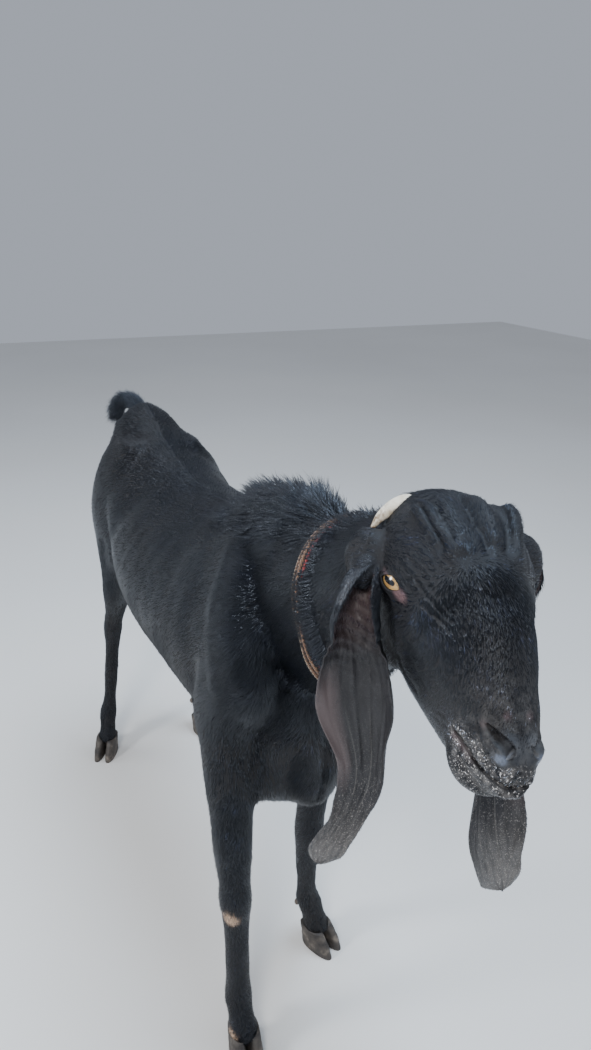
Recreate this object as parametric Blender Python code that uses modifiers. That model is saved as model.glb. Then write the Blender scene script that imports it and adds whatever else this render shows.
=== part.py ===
"""A beetal goat standing still, life size, in metres.

The goat faces -Y, its left side is +X, and its hooves stand on z = 0. The body is lofted from
named stations, fused into one skin and then parted with thin cuts, so that the neck, the head and
each leg meet the trunk along matching faces. Ears, horns, eyes, hooves, tail and collar are
shapes of their own.
"""

import bmesh
import bpy
import math
import numpy as np
import random
from mathutils import Matrix, Vector
from mathutils.bvhtree import BVHTree

GAP = 0.0003
# Brings the middle of the whole model over the origin
MODEL_SHIFT = (0.006, 0.0855, 0.0)

# Heights of the standing animal
WITHERS = 0.795
LOIN = 0.725
RUMP = 0.792
CHEST_FLOOR = 0.386
BELLY_FLOOR = 0.430
BRISKET_PLACE = Vector((0.0, -0.232, 0.458))
BRISKET_SIZE = (0.100, 0.062, 0.072)
CORONET = 0.038

# Where the limbs and the head are set along the trunk
SHOULDER_Y = -0.215
HIP_Y = 0.325
FREE_FROM = 0.60
POLL = Vector((0.000, -0.465, 0.866))
HEAD_TURN = -20.0
HEAD_DROOP = 15.0
HEAD_ROLL = 5.0

# Head sizes, in the head's own frame: x to its left, y to its back, z up, poll at the origin
HEAD_LENGTH = 0.240
EYE_PLACE = Vector((0.0452, -0.0690, 0.0086))
EYE_OUTWARD = Vector((0.62, -0.70, 0.35)).normalized()
EYE_SLANT = -19.0
EYE_RADIUS = 0.0155
EYE_OPENING = (0.0172, 0.0066)
LID_THICKNESS = 0.0026
EAR_ROOT = Vector((0.062, -0.030, -0.002))

# The ears, and the half sizes of the cartilage they hang from on the right and on the left
EAR_BASES = {-1: (0.021, 0.026, 0.028), 1: (0.034, 0.028, 0.032)}
EAR_WIDTH = 0.074
EAR_THICKNESS = 0.0042

TAIL_CORE = 0.012

# Locks of long hair: length, half width and thickness of a large one
LOCK_LENGTH = 0.050
LOCK_HALF_WIDTH = 0.0095
LOCK_THICKNESS = 0.0055
LOCK_SINK = 0.009

# The collar
ROPE_DIAMETER = 0.0055

# Sizes of the facets
BODY_VOXEL = 0.007
HEAD_VOXEL = 0.0034
BODY_TRIANGLES = 3350
HEAD_TRIANGLES = 2100

COAT = (0.012, 0.012, 0.014)
EAR_SKIN = (0.030, 0.025, 0.025)
HORN = (0.62, 0.55, 0.42)
HOOF = (0.10, 0.085, 0.065)
EYE = (0.72, 0.36, 0.08)
ROPE_TAN = (0.42, 0.20, 0.09)
CORD_RED = (0.45, 0.03, 0.03)
STRAND_PALE = (0.45, 0.40, 0.28)


def clear_scene():
    for obj in list(bpy.data.objects):
        bpy.data.objects.remove(obj, do_unlink=True)


def new_collection(name, parent):
    collection = bpy.data.collections.new(name)
    parent.children.link(collection)
    return collection


clear_scene()
random.seed(7)
PARTS = new_collection("beetal_goat", bpy.context.scene.collection)
CUTTERS = new_collection("cutters", bpy.context.scene.collection)
CUTTERS.hide_render = True


def material(name, colour, roughness, metallic=0.0):
    found = bpy.data.materials.get(name)
    if found:
        return found
    made = bpy.data.materials.new(name)
    made.use_nodes = True
    shader = made.node_tree.nodes["Principled BSDF"]
    shader.inputs["Base Color"].default_value = (*colour, 1.0)
    shader.inputs["Roughness"].default_value = roughness
    shader.inputs["Metallic"].default_value = metallic
    return made


def add_part(name, mesh, finish, smooth_angle=35.0):
    """Puts a finished mesh into the goat's collection as one named piece."""
    mesh.name = name
    mesh.materials.clear()
    mesh.materials.append(finish)
    mesh.shade_smooth()
    mesh.set_sharp_from_angle(angle=math.radians(smooth_angle))
    obj = bpy.data.objects.new(name, mesh)
    PARTS.objects.link(obj)
    return obj


def add_cutter(mesh):
    """A helper object, kept out of the model."""
    obj = bpy.data.objects.new("cutter", mesh)
    obj.hide_render = True
    obj.display_type = "WIRE"
    CUTTERS.objects.link(obj)
    return obj


def evaluated_mesh(obj):
    """The object's mesh with its modifiers applied; the object itself is removed."""
    graph = bpy.context.evaluated_depsgraph_get()
    mesh = bpy.data.meshes.new_from_object(obj.evaluated_get(graph))
    mesh.transform(obj.matrix_world)
    bpy.data.objects.remove(obj, do_unlink=True)
    return mesh


def triangle_count(mesh):
    return sum(len(face.vertices) - 2 for face in mesh.polygons)


def smooth_run(rows, steps):
    """A few stations, turned into a smooth run by a curve that passes through each of them."""
    rows = np.array(rows, float)
    padded = np.vstack([2 * rows[0] - rows[1], rows, 2 * rows[-1] - rows[-2]])
    out = []
    for index in range(len(rows) - 1):
        before, start, end, after = padded[index : index + 4]
        for t in np.arange(steps) / steps:
            out.append(
                start
                + 0.5 * t * (end - before)
                + t * t * (before - 2.5 * start + 2 * end - 0.5 * after)
                + 0.5 * t**3 * (after - before + 3 * (start - end))
            )
    out.append(rows[-1])
    return np.array(out)


def skin_rings(rings):
    """Closed mesh over rings of equal size, with a flat cap on each end."""
    count, sides = rings.shape[:2]
    faces = []
    for ring in range(count - 1):
        for side in range(sides):
            following = (side + 1) % sides
            faces.append(
                (
                    ring * sides + side,
                    ring * sides + following,
                    (ring + 1) * sides + following,
                    (ring + 1) * sides + side,
                )
            )
    faces.append(tuple(reversed(range(sides))))
    faces.append(tuple(range((count - 1) * sides, count * sides)))
    mesh = bpy.data.meshes.new("loft")
    mesh.from_pydata(rings.reshape(-1, 3).tolist(), [], faces)
    return outward(mesh)


def outward(mesh):
    """Turns every face of a closed mesh to point out."""
    work = bmesh.new()
    work.from_mesh(mesh)
    bmesh.ops.recalc_face_normals(work, faces=work.faces)
    if work.calc_volume(signed=True) < 0:
        bmesh.ops.reverse_faces(work, faces=work.faces)
    work.to_mesh(mesh)
    work.free()
    return mesh


def loft_along_y(rows, sides=28, steps=4, roof=2.0, keel=2.0, x=0.0):
    """Upright sections one behind the other.

    Each row is y, height of the widest line, half width, rise above it, drop below it. The upper
    half follows a superellipse of power roof, and the lower half one of power keel.
    """
    run = smooth_run(rows, steps)
    turn = np.linspace(0.0, 2 * math.pi, sides, endpoint=False)
    rings = []
    for y, height, half, rise, drop in run:
        power = np.where(np.sin(turn) > 0, roof, keel)
        across = np.sign(np.cos(turn)) * np.abs(np.cos(turn)) ** (2 / power)
        upward = np.sign(np.sin(turn)) * np.abs(np.sin(turn)) ** (2 / power)
        reach = np.where(np.sin(turn) > 0, rise, drop)
        rings.append(np.stack([x + half * across, np.full(sides, y), height + reach * upward], 1))
    return skin_rings(np.array(rings))


def loft_along_z(rows, sides=20, steps=4):
    """Level sections one above the other: z, x, y, half width, reach forward, reach back."""
    run = smooth_run(rows, steps)
    turn = np.linspace(0.0, 2 * math.pi, sides, endpoint=False)
    rings = []
    for z, x, y, half, ahead, behind in run:
        reach = np.where(np.sin(turn) > 0, behind, ahead)
        ring = [x + half * np.cos(turn), y + reach * np.sin(turn), np.full(sides, z)]
        rings.append(np.stack(ring, 1))
    return skin_rings(np.array(rings))


def loft_along_path(rows, sides=12, steps=4, across=(1.0, 0.0, 0.0)):
    """Elliptical sections square to a path: x, y, z, half width, half height.

    The width of each section lies along the direction across, as far as the path allows.
    """
    run = smooth_run(rows, steps)
    tangent = np.gradient(run[:, :3], axis=0)
    tangent /= np.linalg.norm(tangent, axis=1, keepdims=True)
    lift = np.cross(tangent, np.array(across, float))
    lift /= np.linalg.norm(lift, axis=1, keepdims=True)
    wide = np.cross(lift, tangent)
    turn = np.linspace(0.0, 2 * math.pi, sides, endpoint=False)
    rings = (
        run[:, None, :3]
        + run[:, None, 3:4] * wide[:, None] * np.cos(turn)[None, :, None]
        + run[:, None, 4:5] * lift[:, None] * np.sin(turn)[None, :, None]
    )
    return skin_rings(rings)


def ball(place, size, sides=16):
    """A sphere stretched to three half sizes."""
    work = bmesh.new()
    stretch = Matrix.Translation(place) @ Matrix.Diagonal((*size, 1.0))
    bmesh.ops.create_uvsphere(
        work, u_segments=sides, v_segments=sides * 2 // 3, radius=1.0, matrix=stretch
    )
    mesh = bpy.data.meshes.new("ball")
    work.to_mesh(mesh)
    work.free()
    return mesh


def block(low, high, slope=0.0):
    """A box between two corners, whose top and bottom rise by slope away from the midline."""
    low, high = Vector(low), Vector(high)
    size = high - low
    middle = (low + high) / 2
    lean = Matrix.Identity(4)
    lean[2][0] = slope
    place = Matrix.Translation(middle) @ lean @ Matrix.Diagonal((*size, 1.0))
    work = bmesh.new()
    bmesh.ops.create_cube(work, size=1.0, matrix=place)
    mesh = bpy.data.meshes.new("block")
    work.to_mesh(mesh)
    work.free()
    return mesh


def half_space(point, normal, size=0.5, shift=0.0):
    """A large cube whose one face passes through a point, with the cube on the normal's side."""
    normal = Vector(normal).normalized()
    turn = normal.to_track_quat("Z", "Y").to_matrix().to_4x4()
    place = Matrix.Translation(Vector(point) + normal * (size / 2 + shift)) @ turn
    work = bmesh.new()
    bmesh.ops.create_cube(work, size=size, matrix=place)
    mesh = bpy.data.meshes.new("half_space")
    work.to_mesh(mesh)
    work.free()
    return mesh


def largest_shell(mesh):
    """Keeps only the largest closed surface of a mesh."""
    work = bmesh.new()
    work.from_mesh(mesh)
    bmesh.ops.triangulate(work, faces=work.faces)
    unseen = set(work.verts)
    shells = []
    while unseen:
        shell = {unseen.pop()}
        front = list(shell)
        while front:
            for edge in front.pop().link_edges:
                for vert in edge.verts:
                    if vert in unseen:
                        unseen.discard(vert)
                        shell.add(vert)
                        front.append(vert)
        shells.append(shell)
    shells.sort(key=len)
    loose = [vert for shell in shells[:-1] for vert in shell]
    bmesh.ops.delete(work, geom=loose, context="VERTS")
    work.to_mesh(mesh)
    work.free()
    return mesh


def boolean(mesh, other, operation, solver="EXACT"):
    """The mesh cut by, joined to or limited to another closed mesh."""
    obj = add_cutter(mesh)
    tool = add_cutter(other)
    step = obj.modifiers.new("boolean", "BOOLEAN")
    step.operation = operation
    step.object = tool
    step.solver = solver
    result = evaluated_mesh(obj)
    bpy.data.objects.remove(tool, do_unlink=True)
    return largest_shell(result)


def with_locks(mesh, locks):
    """The mesh with its locks fused to it, each one sunk into the surface it grows from."""
    obj = add_cutter(mesh)
    bunch = new_collection("locks", bpy.context.scene.collection)
    bunch.hide_render = True
    for lock in locks:
        bunch.objects.link(bpy.data.objects.new("lock", lock))
    step = obj.modifiers.new("boolean", "BOOLEAN")
    step.operation = "UNION"
    step.operand_type = "COLLECTION"
    step.collection = bunch
    step.solver = "MANIFOLD"
    result = evaluated_mesh(obj)
    for lock in list(bunch.objects):
        bpy.data.objects.remove(lock, do_unlink=True)
    bpy.data.collections.remove(bunch)
    return largest_shell(result)


def flat_lock(root, normal, lie, size=1.0, rise=50.0, fall=-15.0):
    """One flat, tapered lock that leaves the skin at an angle and bends over along its lie.

    The angles are measured from the skin, at the root and at the tip, in degrees.
    """
    normal = Vector(normal).normalized()
    lie = Vector(lie)
    lie = (lie - normal * lie.dot(normal)).normalized()
    across = np.array(normal.cross(lie))
    place = Vector(root) - normal * LOCK_SINK
    length = LOCK_LENGTH * size + LOCK_SINK
    rings = []
    previous = 0.0
    for part, wide, thick in ((0.0, 0.75, 1.0), (0.38, 1.0, 0.95), (0.74, 0.72, 0.6), (1.0, 0.1, 0.12)):
        angle = math.radians(rise + (fall - rise) * (part + previous) / 2)
        place = place + (lie * math.cos(angle) + normal * math.sin(angle)) * length * (part - previous)
        previous = part
        angle = math.radians(rise + (fall - rise) * part)
        upward = np.array(normal * math.cos(angle) - lie * math.sin(angle))
        side = across * LOCK_HALF_WIDTH * wide * math.sqrt(size)
        face = upward * LOCK_THICKNESS / 2 * thick * math.sqrt(size)
        rings.append([np.array(place) + offset for offset in (side, face, -side, -face)])
    return skin_rings(np.array(rings))


def varied(spread):
    return random.uniform(-spread, spread)


def joined(meshes):
    """Several closed meshes in one, still overlapping."""
    work = bmesh.new()
    for mesh in meshes:
        work.from_mesh(mesh)
    result = bpy.data.meshes.new("joined")
    work.to_mesh(result)
    work.free()
    return result


def fused(meshes, voxel, smoothing, triangles):
    """Overlapping closed meshes blended into one skin with about the given number of facets."""
    obj = add_cutter(joined(meshes))
    remesh = obj.modifiers.new("remesh", "REMESH")
    remesh.mode = "VOXEL"
    remesh.voxel_size = voxel
    relax = obj.modifiers.new("relax", "SMOOTH")
    relax.factor = 0.5
    relax.iterations = smoothing
    fine = largest_shell(evaluated_mesh(obj))
    obj = add_cutter(fine)
    thin = obj.modifiers.new("thin", "DECIMATE")
    thin.ratio = min(1.0, triangles / triangle_count(fine))
    return largest_shell(evaluated_mesh(obj))


def head_matrix():
    turn = Matrix.Rotation(math.radians(HEAD_TURN), 4, "Z")
    droop = Matrix.Rotation(math.radians(HEAD_DROOP), 4, "X")
    roll = Matrix.Rotation(math.radians(HEAD_ROLL), 4, "Y")
    return Matrix.Translation(POLL) @ turn @ droop @ roll


HEAD = head_matrix()


def torso_loft():
    """Rib cage, loin and rump, flat at the sides and ridged along the spine."""
    rows = (
        (-0.324, 0.560, 0.028, 0.045, 0.095),
        (-0.300, 0.570, 0.060, 0.100, 0.160),
        (-0.240, 0.600, 0.089, 0.158, 0.600 - CHEST_FLOOR),
        (-0.180, 0.607, 0.105, WITHERS - 0.607, 0.607 - CHEST_FLOOR),
        (-0.080, 0.590, 0.123, 0.168, 0.188),
        (0.020, 0.580, 0.135, LOIN + 0.008 - 0.580, 0.580 - BELLY_FLOOR),
        (0.140, 0.585, 0.138, LOIN - 0.585, 0.585 - BELLY_FLOOR),
        (0.240, 0.615, 0.123, LOIN + 0.015 - 0.615, 0.140),
        (0.330, 0.650, 0.103, RUMP - 0.026 - 0.650, 0.110),
        (0.400, 0.680, 0.080, RUMP - 0.680, 0.110),
        (0.440, 0.690, 0.050, 0.080, 0.080),
        (0.458, 0.690, 0.022, 0.040, 0.045),
    )
    return loft_along_y(rows, roof=1.75, keel=2.0)


def neck_loft():
    """The neck runs forward and up from between the shoulders to behind the jaw."""
    rows = (
        (-0.120, 0.700, 0.058, 0.085, 0.140),
        (-0.210, 0.700, 0.068, 0.105, 0.160),
        (-0.290, 0.725, 0.070, 0.092, 0.140),
        (-0.360, 0.760, 0.068, 0.086, 0.124),
        (-0.425, 0.795, 0.063, 0.078, 0.094),
        (-0.480, 0.818, 0.048, 0.060, 0.066),
    )
    return loft_along_y(rows, sides=24)


def carried(leg, z):
    """How far a leg at some height lies inward and forward of the standard stance."""
    reach = max(0.0, (FREE_FROM - z) / FREE_FROM)
    inward = leg["inward"] * reach + leg["bow"] * 4 * reach * (1 - reach)
    return inward, leg["forward"] * reach


def placed_leg(rows, leg):
    """One leg from level sections, carried to where its foot stands."""
    placed = []
    for z, x, y, half, ahead, behind in rows:
        inward, forward = carried(leg, z)
        placed.append((z, leg["side"] * (x - inward), y - forward, half, ahead, behind))
    return loft_along_z(placed)


def foreleg_loft(leg):
    """Shoulder blade, forearm, knee and cannon."""
    rows = (
        (0.745, 0.052, SHOULDER_Y + 0.010, 0.018, 0.035, 0.040),
        (0.680, 0.072, SHOULDER_Y, 0.034, 0.068, 0.070),
        (0.600, 0.080, SHOULDER_Y - 0.005, 0.038, 0.080, 0.078),
        (0.530, 0.090, SHOULDER_Y, 0.040, 0.056, 0.070),
        (0.460, 0.098, SHOULDER_Y - 0.010, 0.036, 0.043, 0.046),
        (0.370, 0.104, SHOULDER_Y - 0.025, 0.0285, 0.031, 0.030),
        (0.300, 0.106, SHOULDER_Y - 0.032, 0.023, 0.026, 0.023),
        (0.262, 0.107, SHOULDER_Y - 0.036, 0.024, 0.027, 0.023),
        (0.215, 0.108, SHOULDER_Y - 0.038, 0.0195, 0.020, 0.020),
        (0.125, 0.110, SHOULDER_Y - 0.040, 0.0175, 0.018, 0.020),
        (0.088, 0.111, SHOULDER_Y - 0.042, 0.022, 0.021, 0.025),
        (0.060, 0.112, SHOULDER_Y - 0.052, 0.020, 0.020, 0.022),
        (0.030, 0.112, SHOULDER_Y - 0.060, 0.024, 0.027, 0.024),
    )
    return placed_leg(rows, leg)


def hindleg_loft(leg):
    """Thigh, gaskin, hock and cannon."""
    rows = (
        (0.745, 0.045, HIP_Y, 0.025, 0.045, 0.060),
        (0.680, 0.064, HIP_Y, 0.046, 0.090, 0.108),
        (0.600, 0.076, HIP_Y + 0.005, 0.048, 0.098, 0.122),
        (0.530, 0.086, HIP_Y + 0.002, 0.043, 0.088, 0.105),
        (0.470, 0.094, HIP_Y + 0.018, 0.035, 0.070, 0.070),
        (0.400, 0.099, HIP_Y + 0.050, 0.026, 0.042, 0.042),
        (0.335, 0.101, HIP_Y + 0.076, 0.020, 0.026, 0.035),
        (0.300, 0.102, HIP_Y + 0.084, 0.0205, 0.025, 0.031),
        (0.250, 0.103, HIP_Y + 0.084, 0.0165, 0.018, 0.021),
        (0.135, 0.104, HIP_Y + 0.076, 0.0150, 0.016, 0.018),
        (0.092, 0.105, HIP_Y + 0.072, 0.0200, 0.019, 0.023),
        (0.062, 0.105, HIP_Y + 0.062, 0.0185, 0.018, 0.020),
        (0.030, 0.105, HIP_Y + 0.054, 0.0225, 0.025, 0.022),
    )
    return placed_leg(rows, leg)


# Each leg: how far its foot is carried forward and inward, how far its middle bows inward, and
# how far its toes turn out in degrees
LEGS = {
    "foreleg_right": dict(side=-1, forward=0.028, inward=0.010, bow=0.0, toes_out=6.0),
    "foreleg_left": dict(side=1, forward=-0.085, inward=0.027, bow=0.0455, toes_out=20.0),
    "hindleg_right": dict(side=-1, forward=-0.045, inward=-0.016, bow=0.028, toes_out=32.0),
    "hindleg_left": dict(side=1, forward=-0.020, inward=0.000, bow=0.010, toes_out=14.0),
}


def is_fore(name):
    return name.startswith("fore")


def leg_loft(name):
    make = foreleg_loft if is_fore(name) else hindleg_loft
    return make(LEGS[name])


def foot_place(name):
    """Where the coronet of a leg is: x, y."""
    leg = LEGS[name]
    x = 0.112 if is_fore(name) else 0.105
    y = SHOULDER_Y - 0.058 if is_fore(name) else HIP_Y + 0.056
    inward, forward = carried(leg, CORONET)
    return leg["side"] * (x - inward), y - forward


def skull_loft():
    """Braincase, domed forehead and Roman nose down to the muzzle, in the head's frame."""
    rows = (
        (0.030, 0.000, 0.034, 0.030, 0.045),
        (0.000, 0.007, 0.046, 0.046, 0.075),
        (-0.035, 0.010, 0.058, 0.056, 0.096),
        (-0.070, 0.012, 0.060, 0.058, 0.110),
        (-0.100, 0.008, 0.053, 0.059, 0.104),
        (-0.130, 0.000, 0.0435, 0.058, 0.092),
        (-0.165, -0.004, 0.0340, 0.050, 0.080),
        (-0.195, -0.010, 0.0270, 0.038, 0.061),
        (-0.220, -0.015, 0.0210, 0.026, 0.040),
        (-HEAD_LENGTH, -0.017, 0.0105, 0.011, 0.016),
    )
    return loft_along_y(rows, sides=28, roof=2.2, keel=1.9)


def muzzle_forms():
    """Nostril wings, upper lip, lower lip and chin."""
    forms = [ball(Vector((0.0, -0.193, -0.051)), (0.026, 0.030, 0.023))]
    for side in (-1, 1):
        forms.append(ball(Vector((side * 0.0098, -0.219, -0.001)), (0.0098, 0.014, 0.0120)))
        forms.append(ball(Vector((side * 0.0112, -0.207, -0.018)), (0.0125, 0.020, 0.010)))
    return forms


def brow_forms():
    """Bony rims of the eye sockets, cheek muscles and the folds down the forehead."""
    forms = []
    for side in (-1, 1):
        eye = Vector((side * EYE_PLACE.x, EYE_PLACE.y, EYE_PLACE.z))
        forms.append(ball(eye + Vector((0.0, 0.004, 0.012)), (0.014, 0.024, 0.012)))
        forms.append(ball(Vector((side * 0.034, -0.055, -0.050)), (0.020, 0.045, 0.038)))
        forms.append(ball(on_side(EAR_ROOT, side), EAR_BASES[side]))
    for offset in (-0.034, -0.012, 0.012, 0.034):
        rows = (
            (offset * 0.8, -0.008, 0.052 - 0.5 * abs(offset), 0.006, 0.006),
            (offset * 1.05, -0.040, 0.060, 0.008, 0.008),
            (offset * 0.95, -0.075, 0.063, 0.007, 0.007),
            (offset * 0.6, -0.105, 0.060, 0.004, 0.004),
        )
        forms.append(loft_along_path(rows, sides=10))
    return forms


def in_world(meshes):
    for mesh in meshes:
        mesh.transform(HEAD)
    return meshes


def on_side(place, side):
    """A point or direction given for the left of the head, on the asked side of it."""
    return Vector((side * place[0], place[1], place[2]))


# The mane and the crest, from front to back along the trunk
MANE_FRONT = -0.300
MANE_REAR = -0.055
MANE_SPACING = 0.028
CREST_FRONT = -0.440
CREST_REAR = -0.366
CREST_SPACING = 0.024

HEAD_CUT_POINT = HEAD @ Vector((0.0, 0.034, -0.030))
HEAD_CUT_NORMAL = Vector((-0.10, -0.86, 0.50)).normalized()
NECK_CUT_POINT = Vector((0.0, -0.275, 0.720))
NECK_CUT_NORMAL = Vector((0.0, -0.88, 0.47)).normalized()
LEG_CUT_SLOPE = 1.1
FORE_SPAN = (-0.42, -0.125)
HIND_SPAN = (0.235, 0.56)
FORE_ARMPIT = 0.350
FORE_INNER = 0.012
HIND_INNER = 0.020
HIND_GROIN = 0.440


def leg_region(name, grow=0.0):
    """The space that belongs to one leg, with its top sloping up and out from the armpit."""
    leg = LEGS[name]
    inner = (FORE_INNER if is_fore(name) else HIND_INNER) - grow
    outer = 0.220 + grow
    armpit = FORE_ARMPIT if is_fore(name) else HIND_GROIN
    top = armpit + LEG_CUT_SLOPE * (outer - inner) / 2 + grow
    xs = (inner, outer) if leg["side"] > 0 else (-outer, -inner)
    low, high = FORE_SPAN if is_fore(name) else HIND_SPAN
    slope = leg["side"] * LEG_CUT_SLOPE
    return block((xs[0], low - grow, -0.5), (xs[1], high + grow, top), slope)


def body_skin():
    pieces = [torso_loft(), neck_loft(), withers_ridge(), ball(BRISKET_PLACE, BRISKET_SIZE)]
    pieces.extend(leg_loft(name) for name in LEGS)
    skin = fused(pieces, BODY_VOXEL, 6, BODY_TRIANGLES)
    surface = surface_of(skin)
    return with_locks(skin, mane_locks(surface) + crest_locks(surface))


def withers_ridge():
    """The thick underwool of the mane over the withers, half as high as its locks."""
    rows = (
        (0.0, -0.040, 0.735, 0.012, 0.012),
        (0.0, -0.110, 0.752, 0.022, 0.030),
        (0.0, -0.190, 0.776, 0.028, 0.040),
        (0.0, -0.270, 0.790, 0.026, 0.040),
        (0.0, -0.340, 0.806, 0.020, 0.026),
        (0.0, -0.420, 0.842, 0.016, 0.022),
    )
    return loft_along_path(rows)


def rooted_from_above(surface, x, y):
    """The place on the back straight under a point, and which way the skin faces there."""
    place, normal, _, _ = surface.ray_cast(Vector((x, y, 1.2)), Vector((0.0, 0.0, -1.0)))
    return place, normal


def mane_locks(surface):
    """Rows of locks over the withers and up the crest to behind the head.

    The hair lies back and away from the midline. A bare strip is left for the collar.
    """
    locks = []
    for row, across in enumerate((-0.030, -0.015, 0.0, 0.015, 0.030)):
        offset = MANE_SPACING * 0.5 * (row % 2)
        for y in np.arange(MANE_FRONT + offset, MANE_REAR, MANE_SPACING):
            beyond = (y - MANE_FRONT) / (MANE_REAR - MANE_FRONT)
            size = 0.95 - 0.45 * beyond + varied(0.08)
            x = across * (0.75 + 0.25 * size) + varied(0.002)
            place, normal = rooted_from_above(surface, x, y)
            lie = (22.0 * across + varied(0.15), 1.0, 0.0)
            rise = 62.0 - 700.0 * abs(across) + varied(6.0)
            locks.append(flat_lock(place, normal, lie, size, rise, -8.0))
    return locks


def crest_locks(surface):
    """Short locks along the top of the neck, between the collar and the head."""
    locks = []
    for row, across in enumerate((-0.026, -0.009, 0.009, 0.026)):
        offset = CREST_SPACING * 0.5 * (row % 2)
        for y in np.arange(CREST_FRONT + offset, CREST_REAR, CREST_SPACING):
            size = 0.42 + varied(0.05)
            place, normal = rooted_from_above(surface, across + varied(0.002), y)
            lie = (16.0 * across + varied(0.2), 1.0, 0.0)
            locks.append(flat_lock(place, normal, lie, size, 55.0 + varied(6.0), 0.0))
    return locks


def poll_locks(surface):
    """Short locks that stand behind the horns and lean back over the nape."""
    locks = []
    for row, back in enumerate((0.016, 0.028, 0.040)):
        for across in np.linspace(-0.026, 0.026, 5 - row % 2):
            above = HEAD @ Vector((across, back, 0.12))
            down = HEAD.to_3x3() @ Vector((0.0, 0.0, -1.0))
            place, normal, _, _ = surface.ray_cast(above, down)
            lie = HEAD.to_3x3() @ Vector((14.0 * across + varied(0.2), 1.0, 0.15))
            locks.append(flat_lock(place, normal, lie, 0.5 + varied(0.08), 40.0, -5.0))
    return locks


def head_skin():
    pieces = in_world([skull_loft(), *muzzle_forms(), *brow_forms()])
    pieces.append(neck_loft())
    skin = fused(pieces, HEAD_VOXEL, 4, HEAD_TRIANGLES)
    return with_locks(skin, poll_locks(surface_of(skin)))


def make_body():
    coat = material("coat", COAT, 0.55)
    skin = body_skin()
    for name in LEGS:
        leg = boolean(skin.copy(), leg_region(name), "INTERSECT")
        leg = boolean(leg, half_space((0, 0, CORONET), (0, 0, -1), 2.0), "DIFFERENCE")
        add_part(name, leg, coat)
        skin = boolean(skin, leg_region(name, GAP), "DIFFERENCE")
    neck = boolean(skin.copy(), half_space(NECK_CUT_POINT, NECK_CUT_NORMAL), "INTERSECT")
    beyond_neck = half_space(NECK_CUT_POINT, NECK_CUT_NORMAL, shift=-GAP)
    torso = boolean(skin, beyond_neck, "DIFFERENCE")
    beyond_head = half_space(HEAD_CUT_POINT, HEAD_CUT_NORMAL, shift=-GAP)
    neck = boolean(neck, beyond_head, "DIFFERENCE")
    add_part("torso", torso, coat)
    add_part("neck", neck, coat)
    return torso, neck


def eye_frame(side):
    """Axes at one eye: along the slit of the lids, across it, and out of the head."""
    out = on_side(EYE_OUTWARD, side)
    forward = Vector((0.0, -1.0, 0.0))
    along = (forward - out * forward.dot(out)).normalized()
    along = Matrix.Rotation(math.radians(side * EYE_SLANT), 3, out) @ along
    across = out.cross(along)
    turn = Matrix((along, across, out)).transposed().to_4x4()
    return Matrix.Translation(on_side(EYE_PLACE, side)) @ turn


def eye_ball(radius, side):
    globe = ball(Vector((0, 0, 0)), (radius, radius, radius))
    globe.transform(HEAD @ eye_frame(side))
    return globe


def carve_eye(head, side):
    """An almond opening between the lids, with the ball's socket behind it."""
    slit = ball(Vector((0, 0, EYE_RADIUS)), (EYE_OPENING[0], EYE_OPENING[1], 0.012), 20)
    slit.transform(HEAD @ eye_frame(side))
    head = boolean(head, slit, "DIFFERENCE")
    return boolean(head, eye_ball(EYE_RADIUS + GAP, side), "DIFFERENCE")


def make_eye(side, name):
    add_part(name, eye_ball(EYE_RADIUS, side), material("eye", EYE, 0.08))


def laid_on(surface, points, depth=0.0):
    """The points moved to the nearest place on a surface, and then below it by depth."""
    laid = []
    for point in points:
        place, normal, _, _ = surface.find_nearest(point)
        laid.append(place - normal * depth)
    return laid


def surface_of(mesh):
    work = bmesh.new()
    work.from_mesh(mesh)
    tree = BVHTree.FromBMesh(work)
    work.free()
    return tree


def carve_muzzle(head):
    """The line of the mouth and the two slanted nostrils, as grooves."""
    surface = surface_of(head)
    half_line = ((0.0, -0.245, -0.024), (0.010, -0.238, -0.024), (0.020, -0.226, -0.022))
    half_line += ((0.029, -0.208, -0.021), (0.034, -0.188, -0.026))
    right = [HEAD @ on_side(point, -1) for point in reversed(half_line)]
    left = [HEAD @ on_side(point, 1) for point in half_line[1:]]
    line = laid_on(surface, right + left)
    rows = [(*point, 0.0017, 0.0017) for point in line]
    groove = loft_along_path(rows, sides=6, steps=2, across=(0, 0, 1))
    head = boolean(head, groove, "DIFFERENCE")
    for side in (-1, 1):
        slit = ((0.0215, -0.209, 0.013), (0.0180, -0.219, 0.009), (0.0125, -0.232, 0.005))
        line = smooth_run([HEAD @ on_side(point, side) for point in slit], 3)
        points = laid_on(surface, [Vector(point) for point in line], 0.001)
        sizes = 0.0012 + 0.0018 * np.sin(np.linspace(0.0, math.pi, len(points)))
        rows = [(*point, size, 0.005) for point, size in zip(points, sizes)]
        head_up = tuple(HEAD.to_3x3() @ Vector((0, 0, 1)))
        nostril = loft_along_path(rows, sides=6, steps=1, across=head_up)
        head = boolean(head, nostril, "DIFFERENCE")
    return head


def make_head():
    coat = material("coat", COAT, 0.55)
    head = head_skin()
    head = boolean(head, half_space(HEAD_CUT_POINT, HEAD_CUT_NORMAL), "INTERSECT")
    for side in (-1, 1):
        head = boolean(head, eye_ball(EYE_RADIUS + LID_THICKNESS, side), "UNION")
    host = head.copy()
    for side, name in ((-1, "eye_right"), (1, "eye_left")):
        head = carve_eye(head, side)
        make_eye(side, name)
    head = carve_muzzle(head)
    add_part("head", head, coat)
    return host


def seated(mesh, host):
    """A piece cut off where it meets its host, with the gap left between them."""
    grown = host.copy()
    for vert, normal in zip(grown.vertices, [v.normal.copy() for v in host.vertices]):
        vert.co += normal * GAP * 1.5
    return boolean(mesh, grown, "DIFFERENCE")


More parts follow.
